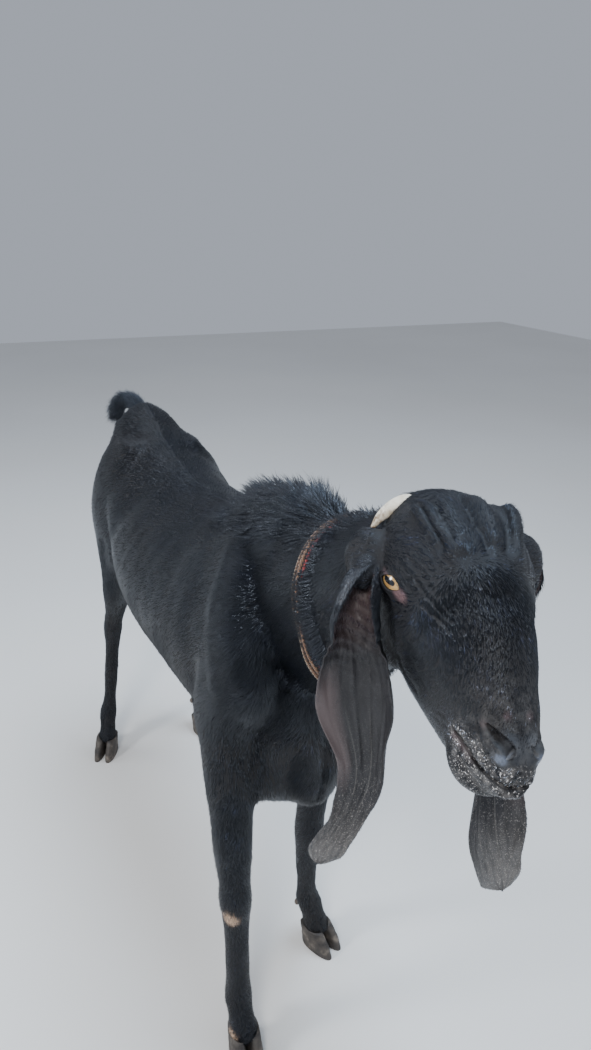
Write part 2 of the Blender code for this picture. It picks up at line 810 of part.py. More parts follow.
def make_horn(side, name, host):
    """A short flat horn that curls out and down beside the poll."""
    rows = (
        (0.014, -0.002, 0.020, 0.0085, 0.0070),
        (0.026, 0.001, 0.0350, 0.0085, 0.0062),
        (0.0385, 0.002, 0.0315, 0.0080, 0.0054),
        (0.0500, 0.000, 0.0205, 0.0058, 0.0040),
        (0.0570, -0.003, 0.0080, 0.0016, 0.0016),
    )
    placed = [(*(HEAD @ on_side(row[:3], side)), *row[3:]) for row in rows]
    back = HEAD.to_3x3() @ Vector((0.0, 1.0, 0.0))
    horn = loft_along_path(placed, sides=12, across=tuple(back))
    add_part(name, seated(horn, host), material("horn", HORN, 0.35))


# Each ear: the points its middle passes on the way down, which way its inner face looks at the
# root and at the tip, and along it the width as a share of the widest, the curl of the sheet
# in degrees and the turn of its rear lobe
EARS = {
    "ear_right": dict(
        side=-1,
        path=(
            (-0.090, -0.490, 0.838),
            (-0.092, -0.500, 0.795),
            (-0.087, -0.502, 0.743),
            (-0.075, -0.498, 0.662),
            (-0.083, -0.495, 0.613),
            (-0.101, -0.494, 0.580),
            (-0.114, -0.490, 0.553),
        ),
        facing=((-0.55, -0.83, 0.0), (-0.45, -0.89, 0.1)),
        shape=(
            (0.86, 230.0, 0.0),
            (0.86, 190.0, 0.0),
            (0.90, 110.0, -40.0),
            (1.08, 70.0, -62.0),
            (0.70, 50.0, -50.0),
            (0.48, 40.0, 0.0),
            (0.50, 30.0, 0.0),
            (0.22, 16.0, 0.0),
        ),
    ),
    "ear_left": dict(
        side=1,
        path=(
            (0.066, -0.500, 0.836),
            (0.056, -0.508, 0.786),
            (0.044, -0.526, 0.724),
            (0.026, -0.552, 0.668),
            (0.016, -0.574, 0.620),
            (0.026, -0.580, 0.575),
            (0.039, -0.583, 0.537),
        ),
        facing=((0.65, -0.76, 0.0), (-0.45, -0.89, 0.1)),
        shape=(
            (0.72, 230.0, 0.0),
            (0.74, 200.0, 0.0),
            (0.78, 150.0, -20.0),
            (0.84, 110.0, -30.0),
            (0.86, 100.0, -20.0),
            (0.86, 100.0, 0.0),
            (0.68, 80.0, 0.0),
            (0.22, 30.0, 0.0),
        ),
    ),
}


def ear_shell(root, ear, across_points=9, steps=2):
    """A folded sheet that hangs along a path.

    Each section is a line of points across the sheet. Its heading turns steadily by the curl and
    turns back by the lobe over the rear third. Half the thickness goes to either face.
    """
    rows = [(*place, *shape) for place, shape in zip((root, *ear["path"]), ear["shape"])]
    run = smooth_run(rows, steps)
    facing = ear["facing"]
    tangent = np.gradient(run[:, :3], axis=0)
    tangent /= np.linalg.norm(tangent, axis=1, keepdims=True)
    blend = np.linspace(0.0, 1.0, len(run))[:, None]
    face = (1 - blend) * np.array(facing[0]) + blend * np.array(facing[1])
    face -= (face * tangent).sum(1, keepdims=True) * tangent
    face /= np.linalg.norm(face, axis=1, keepdims=True)
    wide = ear["side"] * np.cross(face, tangent)
    v = np.linspace(-1.0, 1.0, across_points)
    rings = []
    for centre, normal, lateral, (share, curl, lobe) in zip(
        run[:, :3], face, wide, run[:, 3:]
    ):
        heading = np.radians(curl) * v / 2 + np.radians(lobe) * np.clip((-0.25 - v) / 0.75, 0, 1)
        middle = (heading[1:] + heading[:-1]) / 2
        step = EAR_WIDTH * share / (across_points - 1)
        along = np.concatenate([[0.0], np.cumsum(np.cos(middle) * step)])
        toward = np.concatenate([[0.0], np.cumsum(np.sin(middle) * step)])
        along -= along[across_points // 2]
        toward -= toward[across_points // 2]
        sheet = centre + along[:, None] * lateral + toward[:, None] * normal
        upright = -np.sin(heading)[:, None] * lateral + np.cos(heading)[:, None] * normal
        half = EAR_THICKNESS / 2 * (1 - 0.6 * v**2)[:, None] * min(1.0, 0.45 + share)
        front = sheet + half * upright
        back = sheet - half * upright
        rings.append(np.vstack([front, back[::-1]]))
    return skin_rings(np.array(rings))


def make_ear(name, host):
    ear = EARS[name]
    shell = ear_shell(HEAD @ on_side(EAR_ROOT, ear["side"]), ear)
    add_part(name, seated(shell, host), material("ear_skin", EAR_SKIN, 0.6))


def make_tail(host):
    """A short tail carried up and turned a little to the right, with a tuft of locks."""
    rows = (
        (0.000, 0.410, 0.745, 0.016, 0.014),
        (0.000, 0.444, 0.768, 0.013, 0.011),
        (-0.006, 0.464, 0.777, 0.013, 0.012),
        (-0.017, 0.478, 0.776, 0.015, 0.014),
        (-0.026, 0.485, 0.766, 0.014, 0.013),
        (-0.031, 0.488, 0.752, 0.005, 0.005),
    )
    tail = loft_along_path(rows, sides=10, steps=3)
    spine = smooth_run(rows, 6)[:, :3]
    locks = []
    for turn_number, index in enumerate((11, 15, 19, 24)):
        ahead = Vector(spine[index + 2] - spine[index - 2]).normalized()
        side = ahead.orthogonal().normalized()
        for spoke in range(6):
            angle = math.radians(60.0 * spoke + 30.0 * turn_number + varied(10.0))
            normal = Matrix.Rotation(angle, 3, ahead) @ side
            root = Vector(spine[index]) + normal * TAIL_CORE
            locks.append(flat_lock(root, normal, ahead, 0.50 + varied(0.08), 48.0, -10.0))
    tail = with_locks(tail, locks)
    add_part("tail", seated(tail, host), material("coat", COAT, 0.55))


def make_hooves():
    """Two claws under each leg, flat on the floor, with the toes turned out."""
    horn = material("hoof", HOOF, 0.5)
    half_spread = 0.0118
    rows = (
        (0.0, 0.0, -0.012, 0.0110, 0.034, 0.026),
        (0.012, 0.0, -0.010, 0.0112, 0.032, 0.026),
        (0.026, 0.0, -0.006, 0.0108, 0.027, 0.024),
        (CORONET - GAP, 0.0, 0.0, 0.0104, 0.023, 0.021),
    )
    for name, leg in LEGS.items():
        x, y = foot_place(name)
        turn = Matrix.Rotation(math.radians(leg["side"] * leg["toes_out"]), 4, "Z")
        for label, offset in (("outer", half_spread), ("inner", -half_spread)):
            claw = loft_along_z(rows, sides=12, steps=1)
            beside = Matrix.Translation((leg["side"] * offset, 0.0, 0.0))
            claw.transform(Matrix.Translation((x, y, 0.0)) @ turn @ beside)
            add_part(f"hoof_{name}_{label}", claw, horn)


COLLAR_POINT = Vector((0.0, -0.356, 0.750))
COLLAR_NORMAL = Vector((0.0, -0.96, 0.27)).normalized()
# Each strand: shift along the neck, diameter, colour
COLLAR = {
    "collar_strand_rear": (-0.0065, ROPE_DIAMETER, ROPE_TAN),
    "collar_strand_front": (0.0025, ROPE_DIAMETER, ROPE_TAN),
    "collar_cord_red": (0.0085, 0.0032, CORD_RED),
    "collar_strand_pale": (-0.0125, 0.0030, STRAND_PALE),
}


def ring_round(surface, point, normal, clearance, count=34, samples=8):
    """Points around a neck in one plane, each just outside its widest place nearby."""
    across = Vector((1.0, 0.0, 0.0))
    up = across.cross(normal).normalized()
    if up.z < 0:
        up = -up
    radii = []
    directions = []
    for turn in np.linspace(0.0, 2 * math.pi, count * samples, endpoint=False):
        direction = across * math.cos(turn) + up * math.sin(turn)
        radii.append(surface.ray_cast(point, direction)[3])
        directions.append(direction)
    nearby = range(-samples, samples + 1)
    widest = np.max([np.roll(radii, shift) for shift in nearby], axis=0)
    return [
        point + direction * (radius + clearance)
        for direction, radius in zip(directions[::samples], widest[::samples])
    ]


def ring_rope(name, points, diameter, finish):
    curve = bpy.data.curves.new(name, "CURVE")
    curve.dimensions = "3D"
    curve.bevel_depth = diameter / 2
    curve.bevel_resolution = 1 if diameter > 0.004 else 0
    spline = curve.splines.new("POLY")
    spline.points.add(len(points) - 1)
    for node, point in zip(spline.points, points):
        node.co = (*point, 1.0)
    spline.use_cyclic_u = True
    obj = bpy.data.objects.new(name, curve)
    CUTTERS.objects.link(obj)
    mesh = evaluated_mesh(obj)
    bpy.data.curves.remove(curve)
    add_part(name, outward(mesh), finish)


def make_collar(neck):
    surface = surface_of(neck)
    for name, (shift, diameter, colour) in COLLAR.items():
        point = COLLAR_POINT + COLLAR_NORMAL * shift
        clearance = diameter / 2 + 4 * GAP
        points = ring_round(surface, point, COLLAR_NORMAL, clearance)
        ring_rope(name, points, diameter, material(name, colour, 0.85))


torso_mesh, neck_mesh = make_body()
head_mesh = make_head()
for horn_side, horn_name in ((-1, "horn_right"), (1, "horn_left")):
    make_horn(horn_side, horn_name, head_mesh)
for ear_name in EARS:
    make_ear(ear_name, head_mesh)
make_tail(torso_mesh)
make_hooves()
make_collar(neck_mesh)
for part in PARTS.objects:
    part.data.transform(Matrix.Translation(MODEL_SHIFT))
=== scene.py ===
"""A beetal goat standing still: one skin with its coat, eyes, horns, ears, hooves and collar."""

import math

import bmesh
import bpy
import numpy as np
from mathutils import Matrix, Vector
from mathutils.bvhtree import BVHTree


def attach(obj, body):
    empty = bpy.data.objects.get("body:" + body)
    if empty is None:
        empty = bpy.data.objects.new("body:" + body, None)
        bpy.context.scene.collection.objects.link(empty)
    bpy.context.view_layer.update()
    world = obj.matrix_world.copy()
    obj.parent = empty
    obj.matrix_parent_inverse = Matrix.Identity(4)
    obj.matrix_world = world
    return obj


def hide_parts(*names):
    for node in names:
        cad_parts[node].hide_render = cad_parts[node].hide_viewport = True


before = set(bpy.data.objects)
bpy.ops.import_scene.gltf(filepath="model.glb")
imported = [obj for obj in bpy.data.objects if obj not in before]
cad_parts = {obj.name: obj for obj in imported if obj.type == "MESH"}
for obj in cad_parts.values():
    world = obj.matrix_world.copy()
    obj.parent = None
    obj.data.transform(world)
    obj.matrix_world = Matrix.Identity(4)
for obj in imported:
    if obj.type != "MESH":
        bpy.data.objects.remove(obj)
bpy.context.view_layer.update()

RANDOM = np.random.default_rng(11)

# Named sizes of the goat in metres and degrees, the same as those of its solids
MODEL_SHIFT = np.array((0.006, 0.0855, 0.0))
WITHERS = 0.795
LOIN = 0.725
RUMP = 0.792
CHEST_FLOOR = 0.386
BELLY_FLOOR = 0.430
BRISKET_PLACE = (0.0, -0.232, 0.458)
BRISKET_SIZE = (0.100, 0.062, 0.072)
CORONET = 0.038
SHOULDER_Y = -0.215
HIP_Y = 0.325
FREE_FROM = 0.60
POLL = Vector((0.000, -0.465, 0.866))
HEAD_TURN = -20.0
HEAD_DROOP = 15.0
HEAD_ROLL = 5.0
HEAD_LENGTH = 0.240
EYE_PLACE = (0.0452, -0.0690, 0.0086)
EYE_OUTWARD = Vector((0.62, -0.70, 0.35)).normalized()
EYE_SLANT = -19.0
EYE_RADIUS = 0.0155
LID_THICKNESS = 0.0036
EAR_ROOT = (0.062, -0.030, -0.002)
EAR_BASES = {-1: (0.021, 0.026, 0.028), 1: (0.034, 0.028, 0.032)}
EAR_WIDTH = 0.074
EAR_THICKNESS = 0.0030
COLLAR_POINT = Vector((0.0, -0.356, 0.750))
COLLAR_NORMAL = Vector((0.0, -0.96, 0.27)).normalized()

# How deep the coat lies over the skin
COAT_BODY = 0.0030
COAT_FACE = 0.0010

# Breadth of each tuft's own patch on the unwrapped skin
BAKE_PATCH = 0.003

# Fineness of the blended skin, rounds of smoothing, and how far body and head overlap
BODY_VOXEL = 0.0062
HEAD_VOXEL = 0.0022
BODY_SMOOTHING = 10
HEAD_SMOOTHING = 11
NECK_OVERLAP = 0.001

# The opening of the lids in the eye's own frame: middle, half length and half height, tilt, and
# where the eye looks, as shares of its radius
SLIT_MIDDLE = (-0.0036, -0.0008)
SLIT_HALF = (0.0102, 0.0056)
SLIT_TILT = 10.0
GAZE = (-0.42, -0.17)


def amount(full):
    return full


PIECE_TUFTS = amount(58000)


# Meshes


def array_mesh(name, points, faces):
    """A mesh from an array of points and an array of faces with equal numbers of corners."""
    mesh = bpy.data.meshes.new(name)
    mesh.vertices.add(len(points))
    mesh.vertices.foreach_set("co", np.asarray(points, np.float32).ravel())
    mesh.loops.add(faces.size)
    mesh.loops.foreach_set("vertex_index", faces.astype(np.int32).ravel())
    mesh.polygons.add(len(faces))
    mesh.polygons.foreach_set("loop_start", np.arange(0, faces.size, faces.shape[1], dtype=np.int32))
    mesh.update(calc_edges=True)
    return mesh


def vectors_of(mesh, field):
    """The places (co) or the normals of a mesh's vertices as an array."""
    out = np.empty(len(mesh.vertices) * 3, np.float32)
    mesh.vertices.foreach_get(field, out)
    return out.reshape(-1, 3).astype(float)


def points_of(mesh):
    return vectors_of(mesh, "co")


def normals_of(mesh):
    return vectors_of(mesh, "normal")


def triangles_of(mesh):
    mesh.calc_loop_triangles()
    out = np.empty(len(mesh.loop_triangles) * 3, np.int32)
    mesh.loop_triangles.foreach_get("vertices", out)
    return out.reshape(-1, 3)


def move_points(mesh, points):
    mesh.vertices.foreach_set("co", np.asarray(points, np.float32).ravel())
    mesh.update()


def new_object(name, data):
    obj = bpy.data.objects.new(name, data)
    bpy.context.scene.collection.objects.link(obj)
    return obj


def applied(obj):
    """The object's mesh with its modifiers applied; the object is removed."""
    graph = bpy.context.evaluated_depsgraph_get()
    mesh = bpy.data.meshes.new_from_object(obj.evaluated_get(graph))
    bpy.data.objects.remove(obj, do_unlink=True)
    return mesh


def outward(mesh):
    """The mesh with all its faces turned outwards."""
    work = bmesh.new()
    work.from_mesh(mesh)
    bmesh.ops.recalc_face_normals(work, faces=work.faces)
    if work.calc_volume(signed=True) < 0:
        bmesh.ops.reverse_faces(work, faces=work.faces)
    work.to_mesh(mesh)
    work.free()
    return mesh


def mesh_from(work, name):
    """A new mesh with what a bmesh holds; the bmesh is freed."""
    mesh = bpy.data.meshes.new(name)
    work.to_mesh(mesh)
    work.free()
    return mesh


def grid_faces(rows, columns):
    """Four-cornered faces of a grid of points whose last column is joined to its first."""
    row = np.arange(rows - 1)[:, None] * columns
    column = np.arange(columns)[None, :]
    following = (column + 1) % columns
    corners = (row + column, row + following, row + columns + following, row + columns + column)
    return np.stack(corners, -1).reshape(-1, 4)


def closed_faces(rows, columns):
    """Faces of a grid that closes on itself both ways, as around a ring."""
    column = np.arange(columns)
    following = np.roll(column, -1)
    last = (rows - 1) * columns
    closing = np.stack([last + column, last + following, following, column], -1)
    return np.vstack([grid_faces(rows, columns), closing])


def skin_rings(rings, name="rings"):
    """Closed surface over rings of equal size: point (i, j) is point j of ring i, with flat ends."""
    count, sides = rings.shape[:2]
    faces = grid_faces(count, sides).tolist()
    faces.append(tuple(reversed(range(sides))))
    faces.append(tuple(range((count - 1) * sides, count * sides)))
    mesh = bpy.data.meshes.new(name)
    mesh.from_pydata(rings.reshape(-1, 3).tolist(), [], faces)
    return outward(mesh)


def smooth_run(rows, steps):
    """A few stations, turned into a smooth run by a curve that passes through each of them."""
    rows = np.array(rows, float)
    padded = np.vstack([2 * rows[0] - rows[1], rows, 2 * rows[-1] - rows[-2]])[:, None]
    before, start, end, after = padded[:-3], padded[1:-2], padded[2:-1], padded[3:]
    t = (np.arange(steps) / steps)[None, :, None]
    run = (
        start
        + 0.5 * t * (end - before)
        + t * t * (before - 2.5 * start + 2 * end - 0.5 * after)
        + 0.5 * t**3 * (after - before + 3 * (start - end))
    )
    return np.vstack([run.reshape(-1, rows.shape[1]), rows[-1:]])


def unit(vectors):
    return vectors / np.maximum(np.linalg.norm(vectors, axis=-1, keepdims=True), 1e-12)


def smoothstep(low, high, value):
    t = np.clip((value - low) / (high - low), 0.0, 1.0)
    return t * t * (3 - 2 * t)


def turns(sides):
    """Equal turns once around, in radians."""
    return np.linspace(0.0, 2 * math.pi, sides, endpoint=False)


def rounded(wave, power):
    """A sine or cosine raised to a power with its sign kept, which squares or sharpens a ring."""
    return np.sign(wave) * np.abs(wave) ** power


def loft_along_y(rows, sides=40, steps=6, roof=2.0, keel=2.0):
    """Upright superellipses one behind the other: y, widest height, half width, rise, drop."""
    y, height, half, rise, drop = smooth_run(rows, steps).T[..., None]
    turn = turns(sides)
    above = np.sin(turn) > 0
    power = np.where(above, roof, keel)
    x = half * rounded(np.cos(turn), 2 / power)
    z = height + np.where(above, rise, drop) * rounded(np.sin(turn), 2 / power)
    return skin_rings(np.stack([x, y + 0 * x, z], -1))


def loft_along_z(rows, sides=28, steps=6):
    """Level ellipses one above the other: z, x, y, half width, reach forward, reach back."""
    z, x, y, half, ahead, behind = smooth_run(rows, steps).T[..., None]
    turn = turns(sides)
    reach = np.where(np.sin(turn) > 0, behind, ahead)
    return skin_rings(np.stack([x + half * np.cos(turn), y + reach * np.sin(turn), z + 0 * turn], -1))


def rings_along(run, sides, across, swell=1.0):
    """Ellipses square to a run: x, y, z, half width along the direction across, half height."""
    tangent = unit(np.gradient(run[:, :3], axis=0))
    lift = unit(np.cross(tangent, np.array(across, float)))
    wide = np.cross(lift, tangent)
    turn = turns(sides)[:, None]
    around = run[:, None, 3:4] * wide[:, None] * (np.cos(turn) * swell)
    around = around + run[:, None, 4:5] * lift[:, None] * (np.sin(turn) * swell)
    return run[:, None, :3] + around


def loft_along_path(rows, sides=16, steps=6, across=(1.0, 0.0, 0.0)):
    """A closed skin over the ellipses of rings_along, on a smooth run through the rows."""
    return skin_rings(rings_along(smooth_run(rows, steps), sides, across))


def ball(place, size, sides=40):
    """A sphere stretched to three half sizes around a place."""
    work = bmesh.new()
    stretch = Matrix.Translation(Vector(place)) @ Matrix.Diagonal((*size, 1.0))
    bmesh.ops.create_uvsphere(
        work, u_segments=sides, v_segments=sides * 2 // 3, radius=1.0, matrix=stretch
    )
    return mesh_from(work, "ball")


def half_space(point, normal, size=0.8, shift=0.0):
    """A large cube on the far side of a plane, which stands for all that lies past it."""
    normal = Vector(normal).normalized()
    turn = normal.to_track_quat("Z", "Y").to_matrix().to_4x4()
    place = Matrix.Translation(Vector(point) + normal * (size / 2 + shift)) @ turn
    work = bmesh.new()
    bmesh.ops.create_cube(work, size=size, matrix=place)
    return mesh_from(work, "half_space")


def boolean(mesh, other, operation):
    """The mesh joined with, cut by or kept inside the other."""
    obj = new_object("host", mesh)
    tool = new_object("tool", other)
    step = obj.modifiers.new("boolean", "BOOLEAN")
    step.operation = operation
    step.object = tool
    step.solver = "MANIFOLD"
    result = applied(obj)
    bpy.data.objects.remove(tool, do_unlink=True)
    return result


def joined(meshes):
    work = bmesh.new()
    for mesh in meshes:
        work.from_mesh(mesh)
    return mesh_from(work, "joined")


def fused(meshes, voxel, smoothing):
    """Overlapping closed meshes blended into one skin of small even faces."""
    obj = new_object("fused", joined(meshes))
    remesh = obj.modifiers.new("remesh", "REMESH")
    remesh.mode = "VOXEL"
    remesh.voxel_size = voxel
    relax = obj.modifiers.new("relax", "SMOOTH")
    relax.factor = 0.5
    relax.iterations = smoothing
    return applied(obj)


# The goat's forms


# The ears: side, places down the middle of the folded sheet, which way its hollow faces at root and
# tip, and for each station, from the root on, its width as a share of EAR_WIDTH, its curl in degrees
# and how far its rear lobe turns back
EARS = {
    "ear_right": dict(
        side=-1,
        path=((-0.090, -0.490, 0.838), (-0.092, -0.500, 0.795), (-0.087, -0.502, 0.743),
              (-0.075, -0.498, 0.662), (-0.083, -0.495, 0.613), (-0.101, -0.494, 0.580),
              (-0.114, -0.490, 0.553)),
        facing=((-0.55, -0.83, 0.0), (-0.45, -0.89, 0.1)),
        shape=((0.62, 350.0, 0.0), (1.02, 285.0, 0.0), (0.92, 120.0, -40.0), (1.06, 78.0, -66.0),
               (0.68, 60.0, -56.0), (0.47, 50.0, -10.0), (0.48, 40.0, 0.0), (0.42, 30.0, 0.0)),
    ),
    "ear_left": dict(
        side=1,
        path=((0.066, -0.500, 0.836), (0.056, -0.508, 0.786), (0.044, -0.526, 0.724),
              (0.026, -0.552, 0.668), (0.016, -0.574, 0.620), (0.026, -0.580, 0.575),
              (0.039, -0.583, 0.537)),
        facing=((0.65, -0.76, 0.0), (-0.45, -0.89, 0.1)),
        shape=((0.62, 350.0, 0.0), (1.00, 285.0, 0.0), (0.84, 150.0, -20.0), (0.84, 110.0, -30.0),
               (0.86, 110.0, -20.0), (0.90, 115.0, 0.0), (0.68, 100.0, 0.0), (0.42, 60.0, 0.0)),
    ),
}


def head_matrix():
    """Where the head's own frame sits: turned to the right, drooped and rolled about the poll."""
    turn = Matrix.Rotation(math.radians(HEAD_TURN), 4, "Z")
    droop = Matrix.Rotation(math.radians(HEAD_DROOP), 4, "X")
    roll = Matrix.Rotation(math.radians(HEAD_ROLL), 4, "Y")
    return Matrix.Translation(POLL) @ turn @ droop @ roll


HEAD = head_matrix()
HEAD_TURNING = np.array(HEAD.to_3x3())


def to_head(points):
    """Body points in the head's own frame: x to its left, y to its back, z up."""
    return (points - np.array(POLL)) @ HEAD_TURNING


def torso_loft():
    """The barrel: chest, withers, loin and rump as superellipses, with a narrower roof."""
    rows = (
        (-0.324, 0.560, 0.028, 0.045, 0.095),
        (-0.300, 0.570, 0.060, 0.100, 0.160),
        (-0.240, 0.600, 0.089, 0.158, 0.600 - CHEST_FLOOR),
        (-0.180, 0.607, 0.105, WITHERS - 0.607, 0.607 - CHEST_FLOOR),
        (-0.080, 0.590, 0.123, 0.168, 0.188),
        (0.020, 0.580, 0.135, LOIN + 0.008 - 0.580, 0.580 - BELLY_FLOOR),
        (0.140, 0.585, 0.138, LOIN - 0.585, 0.585 - BELLY_FLOOR),
        (0.240, 0.615, 0.123, LOIN + 0.015 - 0.615, 0.140),
        (0.330, 0.650, 0.103, RUMP - 0.026 - 0.650, 0.110),
        (0.400, 0.680, 0.080, RUMP - 0.680, 0.110),
        (0.440, 0.690, 0.050, 0.080, 0.080),
        (0.458, 0.690, 0.022, 0.040, 0.045),
    )
    return loft_along_y(rows, roof=1.75, keel=2.0)


def neck_loft():
    """The neck, from inside the shoulders up to the poll, as ellipses."""
    rows = (
        (-0.120, 0.700, 0.058, 0.085, 0.140),
        (-0.210, 0.700, 0.068, 0.105, 0.160),
        (-0.290, 0.725, 0.070, 0.092, 0.140),
        (-0.360, 0.760, 0.068, 0.086, 0.124),
        (-0.425, 0.795, 0.063, 0.078, 0.094),
        (-0.480, 0.818, 0.048, 0.060, 0.066),
    )
    return loft_along_y(rows, sides=36)


# How each leg leaves the standard stance: forward and inward at the foot, bowed inward at its
# middle, and its toes turned out in degrees
LEGS = {
    "foreleg_right": dict(side=-1, forward=0.028, inward=0.010, bow=0.0, toes_out=6.0),
    "foreleg_left": dict(side=1, forward=-0.085, inward=0.027, bow=0.0455, toes_out=20.0),
    "hindleg_right": dict(side=-1, forward=-0.045, inward=-0.016, bow=0.028, toes_out=32.0),
    "hindleg_left": dict(side=1, forward=-0.020, inward=0.000, bow=0.010, toes_out=14.0),
}
LEGS_PARTED = 0.1
FORELEG_ROWS = (
    (0.745, 0.052, SHOULDER_Y + 0.010, 0.018, 0.035, 0.040),
    (0.680, 0.072, SHOULDER_Y, 0.034, 0.068, 0.070),
    (0.600, 0.080, SHOULDER_Y - 0.005, 0.038, 0.080, 0.078),
    (0.530, 0.090, SHOULDER_Y, 0.040, 0.056, 0.070),
    (0.460, 0.098, SHOULDER_Y - 0.010, 0.036, 0.043, 0.046),
    (0.370, 0.104, SHOULDER_Y - 0.025, 0.0285, 0.031, 0.030),
    (0.300, 0.106, SHOULDER_Y - 0.032, 0.023, 0.026, 0.023),
    (0.262, 0.107, SHOULDER_Y - 0.036, 0.024, 0.027, 0.023),
    (0.215, 0.108, SHOULDER_Y - 0.038, 0.0195, 0.020, 0.020),
    (0.125, 0.110, SHOULDER_Y - 0.040, 0.0175, 0.018, 0.020),
    (0.088, 0.111, SHOULDER_Y - 0.042, 0.022, 0.021, 0.025),
    (0.060, 0.112, SHOULDER_Y - 0.052, 0.020, 0.020, 0.022),
    (0.030, 0.112, SHOULDER_Y - 0.060, 0.024, 0.027, 0.024),
)
HINDLEG_ROWS = (
    (0.745, 0.045, HIP_Y, 0.025, 0.045, 0.060),
    (0.680, 0.064, HIP_Y, 0.046, 0.090, 0.108),
    (0.600, 0.076, HIP_Y + 0.005, 0.048, 0.098, 0.122),
    (0.530, 0.086, HIP_Y + 0.002, 0.043, 0.088, 0.105),
    (0.470, 0.094, HIP_Y + 0.018, 0.035, 0.070, 0.070),
    (0.400, 0.099, HIP_Y + 0.050, 0.026, 0.042, 0.042),
    (0.335, 0.101, HIP_Y + 0.076, 0.020, 0.026, 0.035),
    (0.300, 0.102, HIP_Y + 0.084, 0.0205, 0.025, 0.031),
    (0.250, 0.103, HIP_Y + 0.084, 0.0165, 0.018, 0.021),
    (0.135, 0.104, HIP_Y + 0.076, 0.0150, 0.016, 0.018),
    (0.092, 0.105, HIP_Y + 0.072, 0.0200, 0.019, 0.023),
    (0.062, 0.105, HIP_Y + 0.062, 0.0185, 0.018, 0.020),
    (0.030, 0.105, HIP_Y + 0.054, 0.0225, 0.025, 0.022),
)


def carried(leg, z):
    """How far a leg at some height lies inward and forward of the standard stance."""
    reach = np.clip((FREE_FROM - z) / FREE_FROM, 0.0, 1.0)
    inward = leg["inward"] * reach + leg["bow"] * 4 * reach * (1 - reach)
    return inward, leg["forward"] * reach


def leg_loft(name):
    """A leg as level ellipses, carried from the standard stance to its own."""
    leg = LEGS[name]
    placed = []
    for z, x, y, half, ahead, behind in FORELEG_ROWS if is_fore(name) else HINDLEG_ROWS:
        inward, forward = carried(leg, z)
        placed.append((z, leg["side"] * (x - inward), y - forward, half, ahead, behind))
    return loft_along_z(placed)


def is_fore(name):
    return name.startswith("fore")


def on_leg_side(points, name):
    """Which points lie in a leg's quarter of the body."""
    fore = points[:, 1] < LEGS_PARTED
    return (np.sign(points[:, 0]) == LEGS[name]["side"]) & (fore == is_fore(name))


def foot_place(name):
    """The middle of a foot on the ground."""
    leg = LEGS[name]
    x = 0.112 if is_fore(name) else 0.105
    y = SHOULDER_Y - 0.058 if is_fore(name) else HIP_Y + 0.056
    inward, forward = carried(leg, CORONET)
    return leg["side"] * (x - inward), y - forward


def withers_ridge():
    """The crest from the back over the withers to the nape, as ellipses along a path."""
    rows = (
        (0.0, -0.040, 0.735, 0.012, 0.012),
        (0.0, -0.110, 0.752, 0.022, 0.030),
        (0.0, -0.190, 0.776, 0.028, 0.040),
        (0.0, -0.270, 0.790, 0.026, 0.040),
        (0.0, -0.340, 0.806, 0.020, 0.026),
        (0.0, -0.420, 0.842, 0.016, 0.022),
    )
    return loft_along_path(rows)


# The tail's path, with half width and half height
TAIL_ROWS = (
    (0.000, 0.410, 0.745, 0.016, 0.014),
    (0.000, 0.444, 0.768, 0.013, 0.011),
    (-0.006, 0.464, 0.777, 0.012, 0.011),
    (-0.017, 0.478, 0.776, 0.011, 0.011),
    (-0.026, 0.485, 0.766, 0.009, 0.009),
    (-0.031, 0.488, 0.752, 0.004, 0.004),
)


